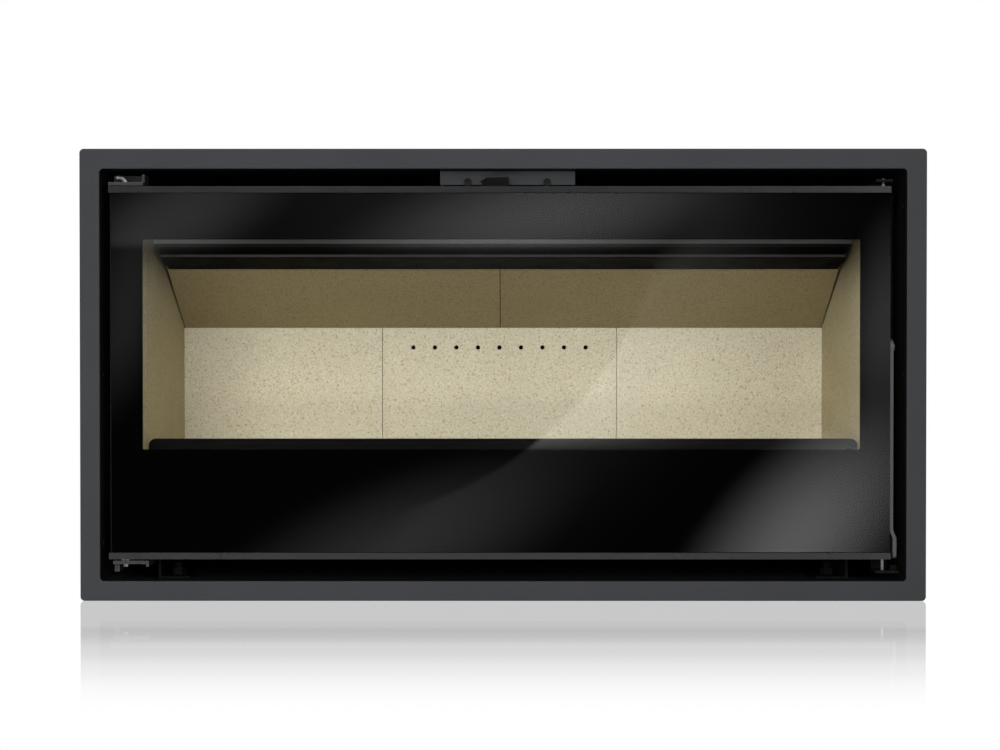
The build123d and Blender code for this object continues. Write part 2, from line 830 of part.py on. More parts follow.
def log_retainer():
    """Plate that keeps the logs off the glass, standing on two legs in front of the hearth."""
    middle = (plate_back + brick_front_depth) / 2
    front = middle - retainer_sheet / 2
    back = middle + retainer_sheet / 2
    plate = panel(-retainer_half_width, retainer_half_width, retainer_bottom, retainer_top,
                  retainer_radius, front, back)
    for x in (-retainer_leg_x, retainer_leg_x):
        plate += block(x - retainer_leg_width / 2, x + retainer_leg_width / 2, front, back,
                       floor_top, retainer_bottom + retainer_radius)
    return plate


def pin_holes(z0, z1, gap):
    """Clearance holes for the hinge pins, between two heights."""
    return rod_z(hinge_x, hinge_depth, z0, z1, hinge_pin_radius + gap)


def rod_holes(z0, z1, gap):
    """Clearance holes for the bolt rods, between two heights."""
    return rod_z(rod_x, rod_depth, z0, z1, rod_radius + gap)


def door_frame():
    """Folded door frame: web, outer flange, and the channel that holds the rope seal."""
    channel_inner = grow(seal_line, -seal_width / 2)
    channel_outer = grow(seal_line, seal_width / 2)
    opening = grow(channel_inner, -seal_wall)
    rim = grow(channel_outer, seal_wall)
    lip_end = seal_front + seal_lip
    frame = ring(door_frame_outline, opening, print_back, web_back)
    frame += ring(door_frame_outline, grow(door_frame_outline, -door_sheet), print_back, door_back)
    frame += ring(channel_inner, opening, print_back, lip_end)
    frame += ring(rim, channel_outer, seal_front - seal_wall, lip_end)
    frame += ring(rim, channel_inner, seal_front - seal_wall, seal_front)
    frame -= pin_holes(door_bottom, door_top, sliding_gap)
    frame -= rod_holes(door_bottom, door_top, sliding_gap)
    return frame - rod_x_axis(frame_right - 2 * door_sheet, frame_right + cut, lever_pivot_depth,
                              lever_pivot_height, bearing_radius)


def rope_seal():
    """Rope seal round the door's opening, rounded where it meets the front plate."""
    rope = ring(grow(seal_line, seal_width / 2), grow(seal_line, -seal_width / 2), seal_front, seal_back)
    back = place(seal_back)
    edges = rope.edges().filter_by_position(Axis.Y, back - edge_pick, back + edge_pick)
    return fillet(edges, seal_rounding * seal_width)


def door_glass():
    """Ceramic glass over the whole front of the door."""
    return panel(*glass_outline, glass_front, glass_back)


def glass_print():
    """Opaque print on the back of the glass, round the clear window."""
    return ring(glass_outline, window, glass_back, print_back)


def glass_rail(z_outer, inward):
    """Metal rail along an edge of the glass: a lip in front of it and a web over the door frame."""
    z_lip = z_outer + inward * glass_rail_height
    z_web = z_outer + inward * glass_rail_sheet
    lip = block(door_left, door_right, rail_front_depth, rail_front_depth + glass_rail_sheet,
                *sorted((z_outer, z_lip)))
    web = block(door_left, door_right, rail_front_depth, door_back, *sorted((z_outer, z_web)))
    rail = lip + web - pin_holes(door_bottom - cut, door_top + cut, sliding_gap)
    return rail - rod_holes(door_bottom - cut, door_top + cut, sliding_gap)


def glass_gasket():
    """Flat tape between each rail's lip and the glass."""
    front = rail_front_depth + glass_rail_sheet
    upper_low = door_top - glass_rail_height + glass_gasket_inset
    lower_high = door_bottom + glass_rail_height - glass_gasket_inset
    return [block(glass_left, door_right, front, glass_front, upper_low, glass_top),
            block(glass_left, door_right, front, glass_front, glass_bottom, lower_high)]


def hinge_bushes():
    """Two bushes inside the door frame that turn on the hinge pins."""
    upper_top = door_frame_top - door_sheet
    lower_bottom = door_frame_bottom + door_sheet
    spans = [(upper_top - hinge_bush_length, upper_top), (lower_bottom, lower_bottom + hinge_bush_length)]
    bushes = []
    for z0, z1 in spans:
        bush = rod_z(hinge_x, hinge_depth, z0, z1, hinge_bush_radius)
        bushes.append(bush - pin_holes(z0 - cut, z1 + cut, running_gap))
    return bushes


def upper_hinge_pin():
    """Lift-out hinge pin with a bent end to pull it by."""
    bottom = door_frame_top - door_sheet - hinge_bush_length
    bend_top = leaf_bottom + hinge_plate + pin_bend_radius + fit_gap
    y = place(hinge_depth)
    path = FilletPolyline((hinge_x, y, bottom), (hinge_x, y, bend_top),
                          (hinge_x - pin_bend_radius - pin_bent_end, y, bend_top), radius=pin_bend_radius)
    section = Plane(origin=path @ 0, z_dir=path % 0) * Circle(hinge_pin_radius)
    return sweep(section, path=path)


def lower_hinge_pin():
    """Fixed hinge pin with the washer that the door stands on."""
    plate_bottom = lower_bracket_top - hinge_plate
    top = door_frame_bottom + door_sheet + hinge_bush_length
    pin = rod_z(hinge_x, hinge_depth, plate_bottom - lower_pin_stub, top, hinge_pin_radius)
    return pin + rod_z(hinge_x, hinge_depth, lower_bracket_top, door_bottom - fit_gap, washer_radius)


def upper_hinge_bracket():
    """Bracket that stands on the top plate and holds the upper pin in front of it."""
    left = hinge_x - upper_leaf_left
    right = hinge_x + upper_leaf_right
    leaf_front = bracket_reach
    web_end = plate_back + bracket_web
    bracket = block(left, right, leaf_front, web_end, leaf_bottom, leaf_bottom + hinge_plate)
    bracket += block(left, right, plate_back, web_end, firebox_top_height, upper_bracket_top)
    bracket += block(left, right, plate_back, plate_back + bracket_foot, firebox_top_height,
                     firebox_top_height + bracket_web)
    bracket += block(right - bracket_web, right, hinge_depth, web_end, leaf_bottom, upper_bracket_top)
    return bracket - pin_holes(leaf_bottom - cut, leaf_bottom + hinge_plate + cut, running_gap)


def lower_hinge_bracket():
    """Plate under the front plate that holds the lower pin, with a stop block and a side tab."""
    left = hinge_x - lower_leaf_left
    right = hinge_x + lower_leaf_right
    bottom = lower_bracket_top - hinge_plate
    bracket = block(left, right, bracket_reach, plate_back + bracket_foot, bottom, lower_bracket_top)
    bracket += block(right - bracket_web, right, bracket_reach, plate_back + bracket_foot,
                     lower_bracket_top - bracket_tab_height, lower_bracket_top)
    bracket += block(left, left + bracket_block_width, hinge_depth, plate_back,
                     bottom - bracket_block_height, bottom)
    return bracket - pin_holes(bottom - cut, lower_bracket_top + cut, running_gap)


def keeper(z_leaf, z_riser_end):
    """Leaf with the hole that a bolt rod enters, on a riser behind the front plate's face."""
    left = rod_x - keeper_width / 2
    right = rod_x + keeper_width / 2
    back = plate_back + keeper_sheet
    leaf_top = z_leaf + keeper_sheet
    leaf = block(left, right, rod_depth - keeper_reach, back, z_leaf, leaf_top)
    riser = block(left, right, plate_back, back, *sorted((z_leaf, z_riser_end)))
    return leaf + riser - rod_holes(z_leaf - cut, leaf_top + cut, keeper_hole_gap)


def upper_keeper():
    """Keeper that stands on the firebox's top plate."""
    foot = block(rod_x - keeper_width / 2, rod_x + keeper_width / 2, plate_back, plate_back + keeper_foot,
                 firebox_top_height, firebox_top_height + keeper_sheet)
    return keeper(upper_keeper_height, firebox_top_height) + foot


def lower_keeper():
    """Keeper fixed behind the front plate's lower edge, with an upturned tab as the handle's stop."""
    riser_end = front_plate_bottom + keeper_foot
    tab_x = rod_x + keeper_width / 2
    tab = block(tab_x, tab_x + keeper_tab_width, rod_depth, rod_depth + keeper_sheet,
                lower_keeper_height, lower_keeper_height + keeper_tab_height)
    link = block(tab_x, tab_x + keeper_tab_width, rod_depth - keeper_reach, rod_depth + keeper_sheet,
                 lower_keeper_height, lower_keeper_height + keeper_sheet)
    return keeper(lower_keeper_height, riser_end) + tab + link


def handle_lever():
    """Flat lever seen edge on, with its shaft, crank disc and the two crank pins."""
    top = lever_pivot_height
    bend_top = lever_joggle_height + lever_joggle_rise
    inner = lever_x
    outer = lever_outer_x
    points = [(inner, top), (inner, bend_top), (inner + lever_joggle, lever_joggle_height),
              (inner + lever_joggle, lever_bottom), (outer + lever_joggle, lever_bottom),
              (outer + lever_joggle, lever_joggle_height), (outer, bend_top), (outer, top)]
    lever = profile_along_y(points, lever_front_depth, lever_back_depth)
    end_edges = lever.edges().filter_by(Axis.X).group_by(Axis.Z)[0]
    lever = fillet(end_edges, lever_end_radius)
    lever += rod_x_axis(inner, outer, lever_pivot_depth, top, lever_head_radius)
    lever += rod_x_axis(outer, outer + lever_bolt_head, lever_pivot_depth, top, shaft_radius)
    lever += rod_x_axis(crank_x, inner, lever_pivot_depth, top, shaft_radius)
    lever += rod_x_axis(crank_x, crank_x + crank_thickness, lever_pivot_depth, top,
                        crank_radius + crank_pin_radius + crank_rim)
    for side in (-1, 1):
        lever += rod_x_axis(crank_x - crank_pin_length, crank_x, lever_pivot_depth + side * crank_radius,
                            top, crank_pin_radius)
    return lever


def handle_bearing():
    """Bush in the door frame's right flange that the handle's shaft turns in."""
    inside = frame_right - door_sheet - bearing_lip
    outside = frame_right + bearing_lip
    bush = rod_x_axis(inside, outside, lever_pivot_depth, lever_pivot_height, bearing_radius)
    return bush - rod_x_axis(inside - cut, outside + cut, lever_pivot_depth, lever_pivot_height,
                             shaft_radius + running_gap)


def crank_slot(side, open_end):
    """Slot that a crank pin works in: side is -1 for the front pin and 1 for the rear one."""
    reach = crank_pin_radius + crank_slack
    pin_rest = lever_pivot_depth + side * crank_radius
    pin_open = lever_pivot_depth + side * crank_radius * cos(radians(lever_angle))
    ends = sorted((pin_rest + side * (reach + open_end), pin_open - side * reach))
    return block(crank_x - 2 * crank_pin_length, crank_x, *ends, lever_pivot_height - reach,
                 lever_pivot_height + reach)


def eye_plate(points):
    """Flat eye on a bolt rod, from (depth, height over the pivot) points."""
    x1 = crank_x - rod_eye_gap
    placed = [(depth, lever_pivot_height + rise) for depth, rise in points]
    return profile_along_x(placed, x1 - rod_eye_thickness, x1)


def upper_bolt_rod():
    """Bolt rod that the rear crank pin pulls down, with a conical tip."""
    reach = crank_pin_radius + crank_slack + rod_eye_wall
    rear = lever_pivot_depth + crank_radius + crank_pin_radius + crank_slack + rod_eye_edge
    front = rod_depth - rod_radius
    pin_open = lever_pivot_depth + crank_radius * cos(radians(lever_angle))
    neck = pin_open - crank_pin_radius - rod_eye_edge - rod_eye_side_gap
    eye = eye_plate([(neck, -reach), (rear, -reach), (rear, rod_eye_length), (front, rod_eye_length),
                     (front, rod_eye_start), (neck, rod_eye_start)])
    straight_top = upper_rod_top - rod_tip_height
    rod = rod_z(rod_x, rod_depth, lever_pivot_height + rod_eye_start, straight_top, rod_radius)
    tip = Pos(rod_x, place(rod_depth), straight_top + rod_tip_height / 2)
    rod += tip * Cone(rod_radius, rod_tip_radius, rod_tip_height)
    return rod + (eye - crank_slot(1, 0))


def lower_bolt_rod():
    """Bolt rod that the front crank pin pulls up, with a rounded end."""
    reach = crank_pin_radius + crank_slack + rod_eye_wall
    front = web_back + sliding_gap
    back = rod_depth + rod_radius
    waist = lever_pivot_depth - lower_eye_gap
    eye = eye_plate([(front, reach), (waist, reach), (waist, -rod_eye_start), (back, -rod_eye_start),
                     (back, -rod_eye_length), (front, -rod_eye_length)])
    rod = rod_z(rod_x, rod_depth, lower_rod_bottom, lever_pivot_height - rod_eye_start, rod_radius)
    rod = fillet(rod.edges().group_by(Axis.Z)[0], rod_radius / 2)
    return rod + (eye - crank_slot(-1, crank_slot_end))


def rod_guides():
    """Two guides inside the door frame's right flange that the bolt rods slide in."""
    x0 = rod_x - rod_guide_width / 2
    x1 = frame_right - door_sheet
    upper = door_frame_top - door_sheet - rod_guide_offset
    lower = door_frame_bottom + door_sheet + rod_guide_offset
    guides = []
    for z0 in (upper - rod_guide_length, lower):
        guide = block(x0, x1, rod_depth - rod_guide_width / 2, rod_depth + rod_guide_width / 2,
                      z0, z0 + rod_guide_length)
        guides.append(guide - rod_holes(z0 - cut, z0 + rod_guide_length + cut, running_gap))
    return guides


def control_bracket():
    """Bracket over the air lever: a face plate, a web back to two legs on the top plate."""
    screw_hole_back = control_depth + control_sheet
    bracket = block(control_left, control_right, control_depth, screw_hole_back,
                    control_bottom, control_top)
    leg_back = control_leg_front + control_leg_width
    bracket += block(control_left, control_right, control_depth, leg_back, control_top - control_sheet,
                     control_top)
    for x, inward in ((control_left, 1), (control_right, -1)):
        leg_x = sorted((x, x + inward * control_sheet))
        foot_x = sorted((x, x + inward * control_leg_width))
        bracket += block(*leg_x, control_leg_front, leg_back, firebox_top_height, control_top)
        bracket += block(*foot_x, control_leg_front, leg_back, firebox_top_height,
                         firebox_top_height + control_sheet)
    for x in (control_screw_left, control_screw_right):
        bracket -= rod_y(x, control_depth - cut, screw_hole_back + cut, control_screw_height,
                         screw_radius + running_gap)
    return bracket


def control_bracket_screws():
    """Two socket screws in the control bracket's face."""
    screws = []
    for x in (control_screw_left, control_screw_right):
        head_front = control_depth - control_screw_head
        screw = rod_y(x, head_front, control_depth, control_screw_height, control_screw_radius)
        screw += rod_y(x, head_front, control_depth + control_screw_length, control_screw_height,
                       screw_radius)
        socket = Pos(x, place(head_front), control_screw_height) * Rot(90, 0, 0)
        hexagon = RegularPolygon(control_socket_radius, 6)
        recess = extrude(socket * hexagon, control_socket_depth, both=True)
        screws.append(screw - recess)
    return screws


def air_lever():
    """Flat lever over the shutter, with an upturned finger tab at its front end."""
    half = air_lever_width / 2
    pin_reach = shutter_pin_radius + shutter_pin_gap
    pin_near = air_lever_arm
    pin_far = pin_near / cos(radians(air_lever_rest))
    flat = Pos(0, -air_lever_reach / 2, 0) * Box(air_lever_width, air_lever_reach, air_lever_sheet)
    flat += Cylinder(half, air_lever_sheet)
    flat -= Cylinder(pivot_pin_radius + running_gap, 2 * air_lever_sheet)
    slot_middle = (pin_near + pin_far) / 2
    slot_length = pin_far - pin_near + 2 * pin_reach
    flat -= Pos(0, -slot_middle, 0) * Box(2 * pin_reach, slot_length, 2 * air_lever_sheet)
    bottom = -air_lever_sheet / 2
    tip = bottom + air_tab_tip
    outline = Polygon((-air_tab_left, tip), (-air_tab_slope, bottom), (air_tab_right, bottom),
                      (air_tab_right, bottom + air_tab_height), (0, bottom + air_tab_height), align=None)
    tab = extrude(Pos(0, -air_lever_reach, 0) * Rot(90, 0, 0) * outline, air_lever_sheet, dir=(0, 1, 0))
    lever = Rot(0, 0, -air_lever_rest) * (flat + tab)
    return Pos(0, place(air_lever_pivot_depth), air_lever_bottom + air_lever_sheet / 2) * lever


def air_lever_pin():
    """Shoulder pin on the top plate that the air lever turns on."""
    shoulder_top = air_lever_bottom - fit_gap
    head_bottom = air_lever_top + fit_gap
    head_top = head_bottom + control_sheet
    pin = rod_z(0, air_lever_pivot_depth, firebox_top_height, shoulder_top, pivot_shoulder_radius)
    pin += rod_z(0, air_lever_pivot_depth, firebox_top_height, head_top, pivot_pin_radius)
    return pin + rod_z(0, air_lever_pivot_depth, head_bottom, head_top, pivot_shoulder_radius)


def shutter_pin_x():
    """X of the shutter's pin at rest, on the air lever's centre line."""
    return -air_lever_arm * tan(radians(air_lever_rest))


def air_shutter():
    """Slotted strip over the top plate's air slots, with the pin that the air lever pushes."""
    top = shutter_bottom + shutter_sheet
    strip = block(-shutter_half_width, shutter_half_width, shutter_depth - shutter_width / 2,
                  shutter_depth + shutter_width / 2, shutter_bottom, top)
    strip -= air_slot_row(shutter_bottom - cut, top + cut)
    return strip + rod_z(shutter_pin_x(), shutter_depth, shutter_bottom, air_lever_top, shutter_pin_radius)


def write(name, shape):
    """Write one node: a single solid, or a group of equal fasteners."""
    node = Compound(shape) if isinstance(shape, list) else shape
    export_step(node, f"parts/{name}.step")


def nodes():
    """Every node of the insert, by name."""
    insert = {
        "surround_frame": surround_frame(),
        "surround_screws": surround_screws(),
        "casing_base": casing_base(),
        "casing_left_side": casing_side(-1),
        "casing_right_side": casing_side(1),
        "casing_top": casing_top(),
        "casing_back": casing_back(),
        "air_inlet_spigot": air_inlet_spigot(),
        "levelling_feet": levelling_feet(),
        "support_rail_left": support_rail(-1),
        "support_rail_right": support_rail(1),
        "firebox_floor": firebox_floor(),
        "firebox_left_wall": firebox_wall(-1),
        "firebox_right_wall": firebox_wall(1),
        "firebox_back_wall": firebox_back_wall(),
        "secondary_air_duct": secondary_air_duct(),
        "firebox_top": firebox_top(),
        "firebox_front_plate": firebox_front_plate(),
        "flue_collar": flue_collar(),
        "side_brick_left": side_brick_at(-1),
        "side_brick_right": side_brick_at(1),
        "ember_grate": ember_grate(),
        "ash_well": ash_well(),
        "ash_pan": ash_pan(),
        "air_deflector": air_deflector(),
        "baffle_rail": baffle_rail(),
        "log_retainer": log_retainer(),
        "door_frame": door_frame(),
        "door_glass": door_glass(),
        "glass_print": glass_print(),
        "glass_gasket": glass_gasket(),
        "top_glass_rail": glass_rail(door_top, -1),
        "bottom_glass_rail": glass_rail(door_bottom, 1),
        "rope_seal": rope_seal(),
        "hinge_bushes": hinge_bushes(),
        "upper_hinge_pin": upper_hinge_pin(),
        "lower_hinge_pin": lower_hinge_pin(),
        "upper_hinge_bracket": upper_hinge_bracket(),
        "lower_hinge_bracket": lower_hinge_bracket(),
        "upper_keeper": upper_keeper(),
        "lower_keeper": lower_keeper(),
        "handle_lever": handle_lever(),
        "handle_bearing": handle_bearing(),
        "upper_bolt_rod": upper_bolt_rod(),
        "lower_bolt_rod": lower_bolt_rod(),
        "rod_guides": rod_guides(),
        "control_bracket": control_bracket(),
        "control_bracket_screws": control_bracket_screws(),
        "air_lever": air_lever(),
        "air_lever_pin": air_lever_pin(),
        "air_shutter": air_shutter(),
    }
    insert.update(back_bricks())
    insert.update(baffle_bricks())
    insert.update(hearth_bricks())
    return insert


os.makedirs("parts", exist_ok=True)
for node_name, node_shape in nodes().items():
    write(node_name, node_shape)
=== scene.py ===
import math

import bpy
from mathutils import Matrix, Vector


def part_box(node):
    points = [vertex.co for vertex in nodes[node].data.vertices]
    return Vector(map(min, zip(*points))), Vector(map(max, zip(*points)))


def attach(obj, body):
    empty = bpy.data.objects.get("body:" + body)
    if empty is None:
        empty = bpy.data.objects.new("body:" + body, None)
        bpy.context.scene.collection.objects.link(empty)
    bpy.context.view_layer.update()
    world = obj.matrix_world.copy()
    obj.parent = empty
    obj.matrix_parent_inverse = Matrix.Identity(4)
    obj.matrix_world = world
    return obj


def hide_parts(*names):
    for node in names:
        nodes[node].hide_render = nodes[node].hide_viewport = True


# The looks of a landscape fireplace insert, seen from straight in front, standing on a glossy white floor.
# Lengths are in metres, X to the right, Y to the back and Z up.

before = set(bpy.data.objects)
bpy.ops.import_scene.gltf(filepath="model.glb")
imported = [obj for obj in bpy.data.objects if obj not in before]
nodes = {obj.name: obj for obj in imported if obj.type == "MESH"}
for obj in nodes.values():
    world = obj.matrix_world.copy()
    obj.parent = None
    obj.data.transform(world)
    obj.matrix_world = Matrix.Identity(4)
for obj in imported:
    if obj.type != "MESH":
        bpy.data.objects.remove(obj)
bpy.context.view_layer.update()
scene = bpy.context.scene

# Camera, from the photograph's perspective
IMAGE_WIDTH = 1000.0
FOCAL_PIXELS = 1900.0
SENSOR_WIDTH = 36.0
CAMERA_DISTANCE = 2.35
CAMERA_HEIGHT = 0.309
FRAME_CENTRE_PIXEL_X = 503.05
FRAME_CENTRE_PIXEL_Y = 375.2
IMAGE_CENTRE_X = 500.0
IMAGE_CENTRE_Y = 375.0

# Floor: how far it reaches, and how strongly it mirrors, by the distance in front of the face and to the side
FLOOR_REACH = 30.0
FLOOR_GLOSS_REACH = 0.72
FLOOR_GLOSS = ((0.0, 0.445), (0.29, 0.445), (0.34, 0.50), (0.41, 0.46), (0.50, 0.345), (0.58, 0.30),
               (0.66, 0.20), (0.74, 0.145), (0.82, 0.07), (0.92, 0.02), (1.0, 0.0))
FLOOR_GLOSS_SIDES = (0.56, 0.85)

# Room that the glass mirrors: dark straight ahead and white further round. Its pattern is written in pixels of
# the front view. A glow is (x, y, half length, half width, turn in degrees, strength), and a fade is (start,
# end, first, last) down the picture.
AMBIENT = 0.16
DARK_ROOM = (0.30, 0.55)
LEAST_AHEAD = 0.05
HORIZON_PIXEL_Y = 348.0
GLASS_GLOWS = (
    (520.0, 210.0, 420.0, 200.0, 0.0, 0.20),
    (172.0, 217.0, 182.0, 71.0, -30.0, 0.61),
    (543.0, 212.0, 243.0, 71.0, -11.0, 1.09),
    (385.0, 550.0, 238.0, 86.0, -22.0, 0.47),
    (797.0, 538.0, 211.0, 95.0, -47.0, 2.27),
    (885.0, 320.0, 140.0, 50.0, -84.0, 0.65),
    (125.0, 310.0, 130.0, 45.0, -80.0, 0.30),
)
GLASS_HEAD_FADE = (236.0, 248.0, 1.0, 0.12)
ARC_CENTRE = (311.0, 159.0)
ARC_RADIUS = 359.0
ARC_SOFTNESS = 3.0
ARC_TAIL = 150.0
ARC_START = (430.0, 480.0)
ARC_FADES = ((318.0, 338.0, 0.25, 1.0), (432.0, 450.0, 1.0, 0.20))

# Places read from the frame
face_low, face_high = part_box("surround_frame")
casing_low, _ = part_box("casing_top")
FRONT_Y = face_low.y
FACE_CENTRE_Z = (face_low.z + face_high.z) / 2

# Boxes whose insides get painted shade, in black: the casing's within its sheets, and the surround's behind
# its face
SHADE_BLACK = (0.0025, 0.0025, 0.0027)
FACE_BORDER = 0.025
FACE_SKIN = 0.0006
SHEET_SKIN = 0.0004
BEYOND = 1.0
CASING_INSIDE = ((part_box("casing_left_side")[1].x - SHEET_SKIN, casing_low.y - BEYOND,
                  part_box("casing_base")[1].z - SHEET_SKIN),
                 (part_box("casing_right_side")[0].x + SHEET_SKIN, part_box("casing_back")[0].y + SHEET_SKIN,
                  casing_low.z + SHEET_SKIN))
FACE_INSIDE = ((face_low.x + FACE_BORDER - SHEET_SKIN, FRONT_Y + FACE_SKIN,
                face_low.z + FACE_BORDER - SHEET_SKIN),
               (face_high.x - FACE_BORDER + SHEET_SKIN, face_high.y + BEYOND,
                face_high.z - FACE_BORDER + SHEET_SKIN))

# Painted highlights along lit folds, as (low, high, tone), and painted shade on the side bricks, darker
# towards the top
DEFLECTOR_HIGHLIGHT = (0.4453, 0.4505, 0.100)
RAIL_HIGHLIGHT = (0.4306, 0.4338, 0.052)
TOP_SHADE = ((0.24, 1.0), (0.33, 0.90), (0.38, 0.80), (0.405, 0.62), (0.425, 0.36), (0.445, 0.25))
TOP_SHADE_DRIFT = 0.02
BRICK_BEVEL = 0.0007
BEVEL_ANGLE = 40.0

# Sealing rope and tape, and the ring round the flue
ROPE_WIDTH = 0.010
ROPE_CORNER = 0.010
ROPE_PITCH = 0.040
ROPE_STRANDS = 6
ROPE_STEPS = 4
ROPE_SIDES = 5
ROPE_WAVE = 0.00045
ROPE_STRAND_HALF_THICKNESS = 0.00055
ROPE_STRAND_HALF_WIDTH = 0.0016
ROPE_CORE_STEPS = 6
ROPE_SQUARENESS = 0.7
CORE_SIDES = 12
TAPE_WIDTH = 0.0042
TAPE_STEP = 0.0005
TAPE_PITCH = 0.0022
TAPE_RIB = 0.22
TAPE_SQUARENESS = 0.5
RING_INNER = 0.1003
RING_OUTER = 0.1130
RING_SHEET = 0.0012
RING_LIFT = 0.0001
RING_STEPS = 120

# Lamps: name, place, what it is aimed at, width and height, power, and whether gloss and glass show it
LAMPS = (
    ("key", (-0.8, -3.5, 0.95), (0, 0, 0.3), (2.4, 1.3), 88.0, False),
    ("high", (-1.0, -3.6, 2.5), (0, 0, 0.3), (1.8, 1.2), 40.0, True),
    ("fill", (2.0, -3.2, 1.2), (0, 0, 0.3), (1.4, 1.4), 28.0, True),
    ("low", (-0.3, -1.1, 0.04), (0, FRONT_Y, 0.05), (1.5, 0.05), 3.5, False),
    ("top", (0.0, -0.4, 2.6), (0, 0, 0.3), (2.2, 1.2), 12.0, True),
)

# Sockets of a Mix node, as (factor, first, second, result), for colours and for numbers
MIX_COLOUR = (0, 6, 7, 2)
MIX_NUMBER = (0, 2, 3, 0)


# Node helpers


def maths(tree, operation, *values):
    """A maths node over sockets and plain numbers."""
    node = tree.nodes.new("ShaderNodeMath")
    node.operation = operation
    for value, socket in zip(values, node.inputs):
        if isinstance(value, bpy.types.NodeSocket):
            tree.links.new(value, socket)
        else:
            socket.default_value = value
    return node.outputs[0]


def remap(tree, value, low, high, start, end, kind="SMOOTHSTEP"):
    """Maps a value from low..high to start..end."""
    node = tree.nodes.new("ShaderNodeMapRange")
    node.interpolation_type = kind
    tree.links.new(value, node.inputs["Value"])
    for name, number in (("From Min", low), ("From Max", high), ("To Min", start), ("To Max", end)):
        node.inputs[name].default_value = number
    return node.outputs["Result"]


def weighed(tree, x, y, x_weight, y_weight):
    """x and y, each times its weight, added up."""
    return maths(tree, "ADD", maths(tree, "MULTIPLY", x, x_weight), maths(tree, "MULTIPLY", y, y_weight))


def length_of(tree, x, y):
    """Length of a flat vector."""
    return maths(tree, "SQRT", weighed(tree, x, y, x, y))


class Shader:
    """A material's node tree, with a Principled shader already joined to its output."""

    def __init__(self, name):
        self.material = bpy.data.materials.new(name)
        self.material.use_nodes = True
        self.tree = self.material.node_tree
        self.bsdf = self.tree.nodes["Principled BSDF"]
        self.output = self.tree.nodes["Material Output"]
        self.position = self.add("ShaderNodeTexCoord").outputs["Object"]

    def add(self, kind, **settings):
        """A new node with its settings."""
        node = self.tree.nodes.new(kind)
        for key, value in settings.items():
            setattr(node, key, value)
        return node

    def link(self, source, target):
        """Joins an output socket to an input socket."""
        self.tree.links.new(source, target)

    def set(self, **values):
        """Sets the Principled shader's own sockets; an underscore stands for a space."""
        for key, value in values.items():
            self.bsdf.inputs[key.replace("_", " ")].default_value = value

    def noise(self, scale, detail=4.0, rough=0.55, stretch=(1, 1, 1)):
        """Noise over the object's own place, as a value from 0 to 1."""
        mapping = self.add("ShaderNodeMapping")
        mapping.inputs["Scale"].default_value = stretch
        self.link(self.position, mapping.inputs["Vector"])
        texture = self.add("ShaderNodeTexNoise")
        texture.inputs["Scale"].default_value = scale
        texture.inputs["Detail"].default_value = detail
        texture.inputs["Roughness"].default_value = rough
        self.link(mapping.outputs["Vector"], texture.inputs["Vector"])
        return texture.outputs["Fac"]

    def cells(self, scale, output="Distance"):
        """Voronoi cells over the object's own place."""
        texture = self.add("ShaderNodeTexVoronoi")
        texture.inputs["Scale"].default_value = scale
        self.link(self.position, texture.inputs["Vector"])
        return texture.outputs[output]

    def ramp(self, source, *stops):
        """A colour ramp: each stop is (position, colour or grey)."""
        node = self.add("ShaderNodeValToRGB")
        elements = node.color_ramp.elements
        while len(elements) < len(stops):
            elements.new(0.5)
        for element, (place, colour) in zip(elements, stops):
            element.position = place
            element.color = (*colour, 1) if isinstance(colour, tuple) else (colour,) * 3 + (1,)
        self.link(source, node.inputs["Fac"])
        return node.outputs["Color"]

    def mix(self, factor, first, second, blend="MIX"):
        """Mixes two colours; each may be a socket or a plain colour, and factor a socket or number."""
        node = self.add("ShaderNodeMix", data_type="RGBA", blend_type=blend)
        for value, place in zip((factor, first, second), MIX_COLOUR):
            socket = node.inputs[place]
            if isinstance(value, bpy.types.NodeSocket):
                self.link(value, socket)
            elif isinstance(value, tuple):
                socket.default_value = (*value, 1)
            else:
                socket.default_value = value
        return node.outputs[MIX_COLOUR[-1]]

    def shaders(self, factor, first, second):
        """Mixes two shader sockets."""
        node = self.add("ShaderNodeMixShader")
        for source, target in zip((factor, first, second), node.inputs):
            self.link(source, target)
        return node.outputs[0]

    def axes(self):
        """The object's own place as three numbers, X, Y and Z."""
        place = self.add("ShaderNodeSeparateXYZ")
        self.link(self.position, place.inputs[0])
        return place.outputs

    def bump(self, height, distance, strength=1.0, after=None):
        """A bump of some depth in metres, joined to the shader's normal."""
        node = self.add("ShaderNodeBump")
        node.inputs["Strength"].default_value = strength
        node.inputs["Distance"].default_value = distance
        self.link(height, node.inputs["Height"])
        if after is not None:
            self.link(after, node.inputs["Normal"])
        self.link(node.outputs["Normal"], self.bsdf.inputs["Normal"])
        return node.outputs["Normal"]

    def within(self, low, high):
        """A mask that is 1 inside a box, given by two corners."""
        mask = 1.0
        for axis, start, end in zip(self.axes(), low, high):
            for test, limit in (("GREATER_THAN", start), ("LESS_THAN", end)):
                mask = maths(self.tree, "MULTIPLY", mask, maths(self.tree, test, axis, limit))
        return mask

    def edge_mask(self, radius, low, high):
        """A mask that is white along sharp edges, from the difference of rounded and plain normals."""
        bevel = self.add("ShaderNodeBevel", samples=6)
        bevel.inputs["Radius"].default_value = radius
        geometry = self.add("ShaderNodeNewGeometry")
        product = self.add("ShaderNodeVectorMath", operation="DOT_PRODUCT")
        self.link(bevel.outputs["Normal"], product.inputs[0])
        self.link(geometry.outputs["Normal"], product.inputs[1])
        return self.ramp(product.outputs["Value"], (low, 1.0), (high, 0.0))


# Materials


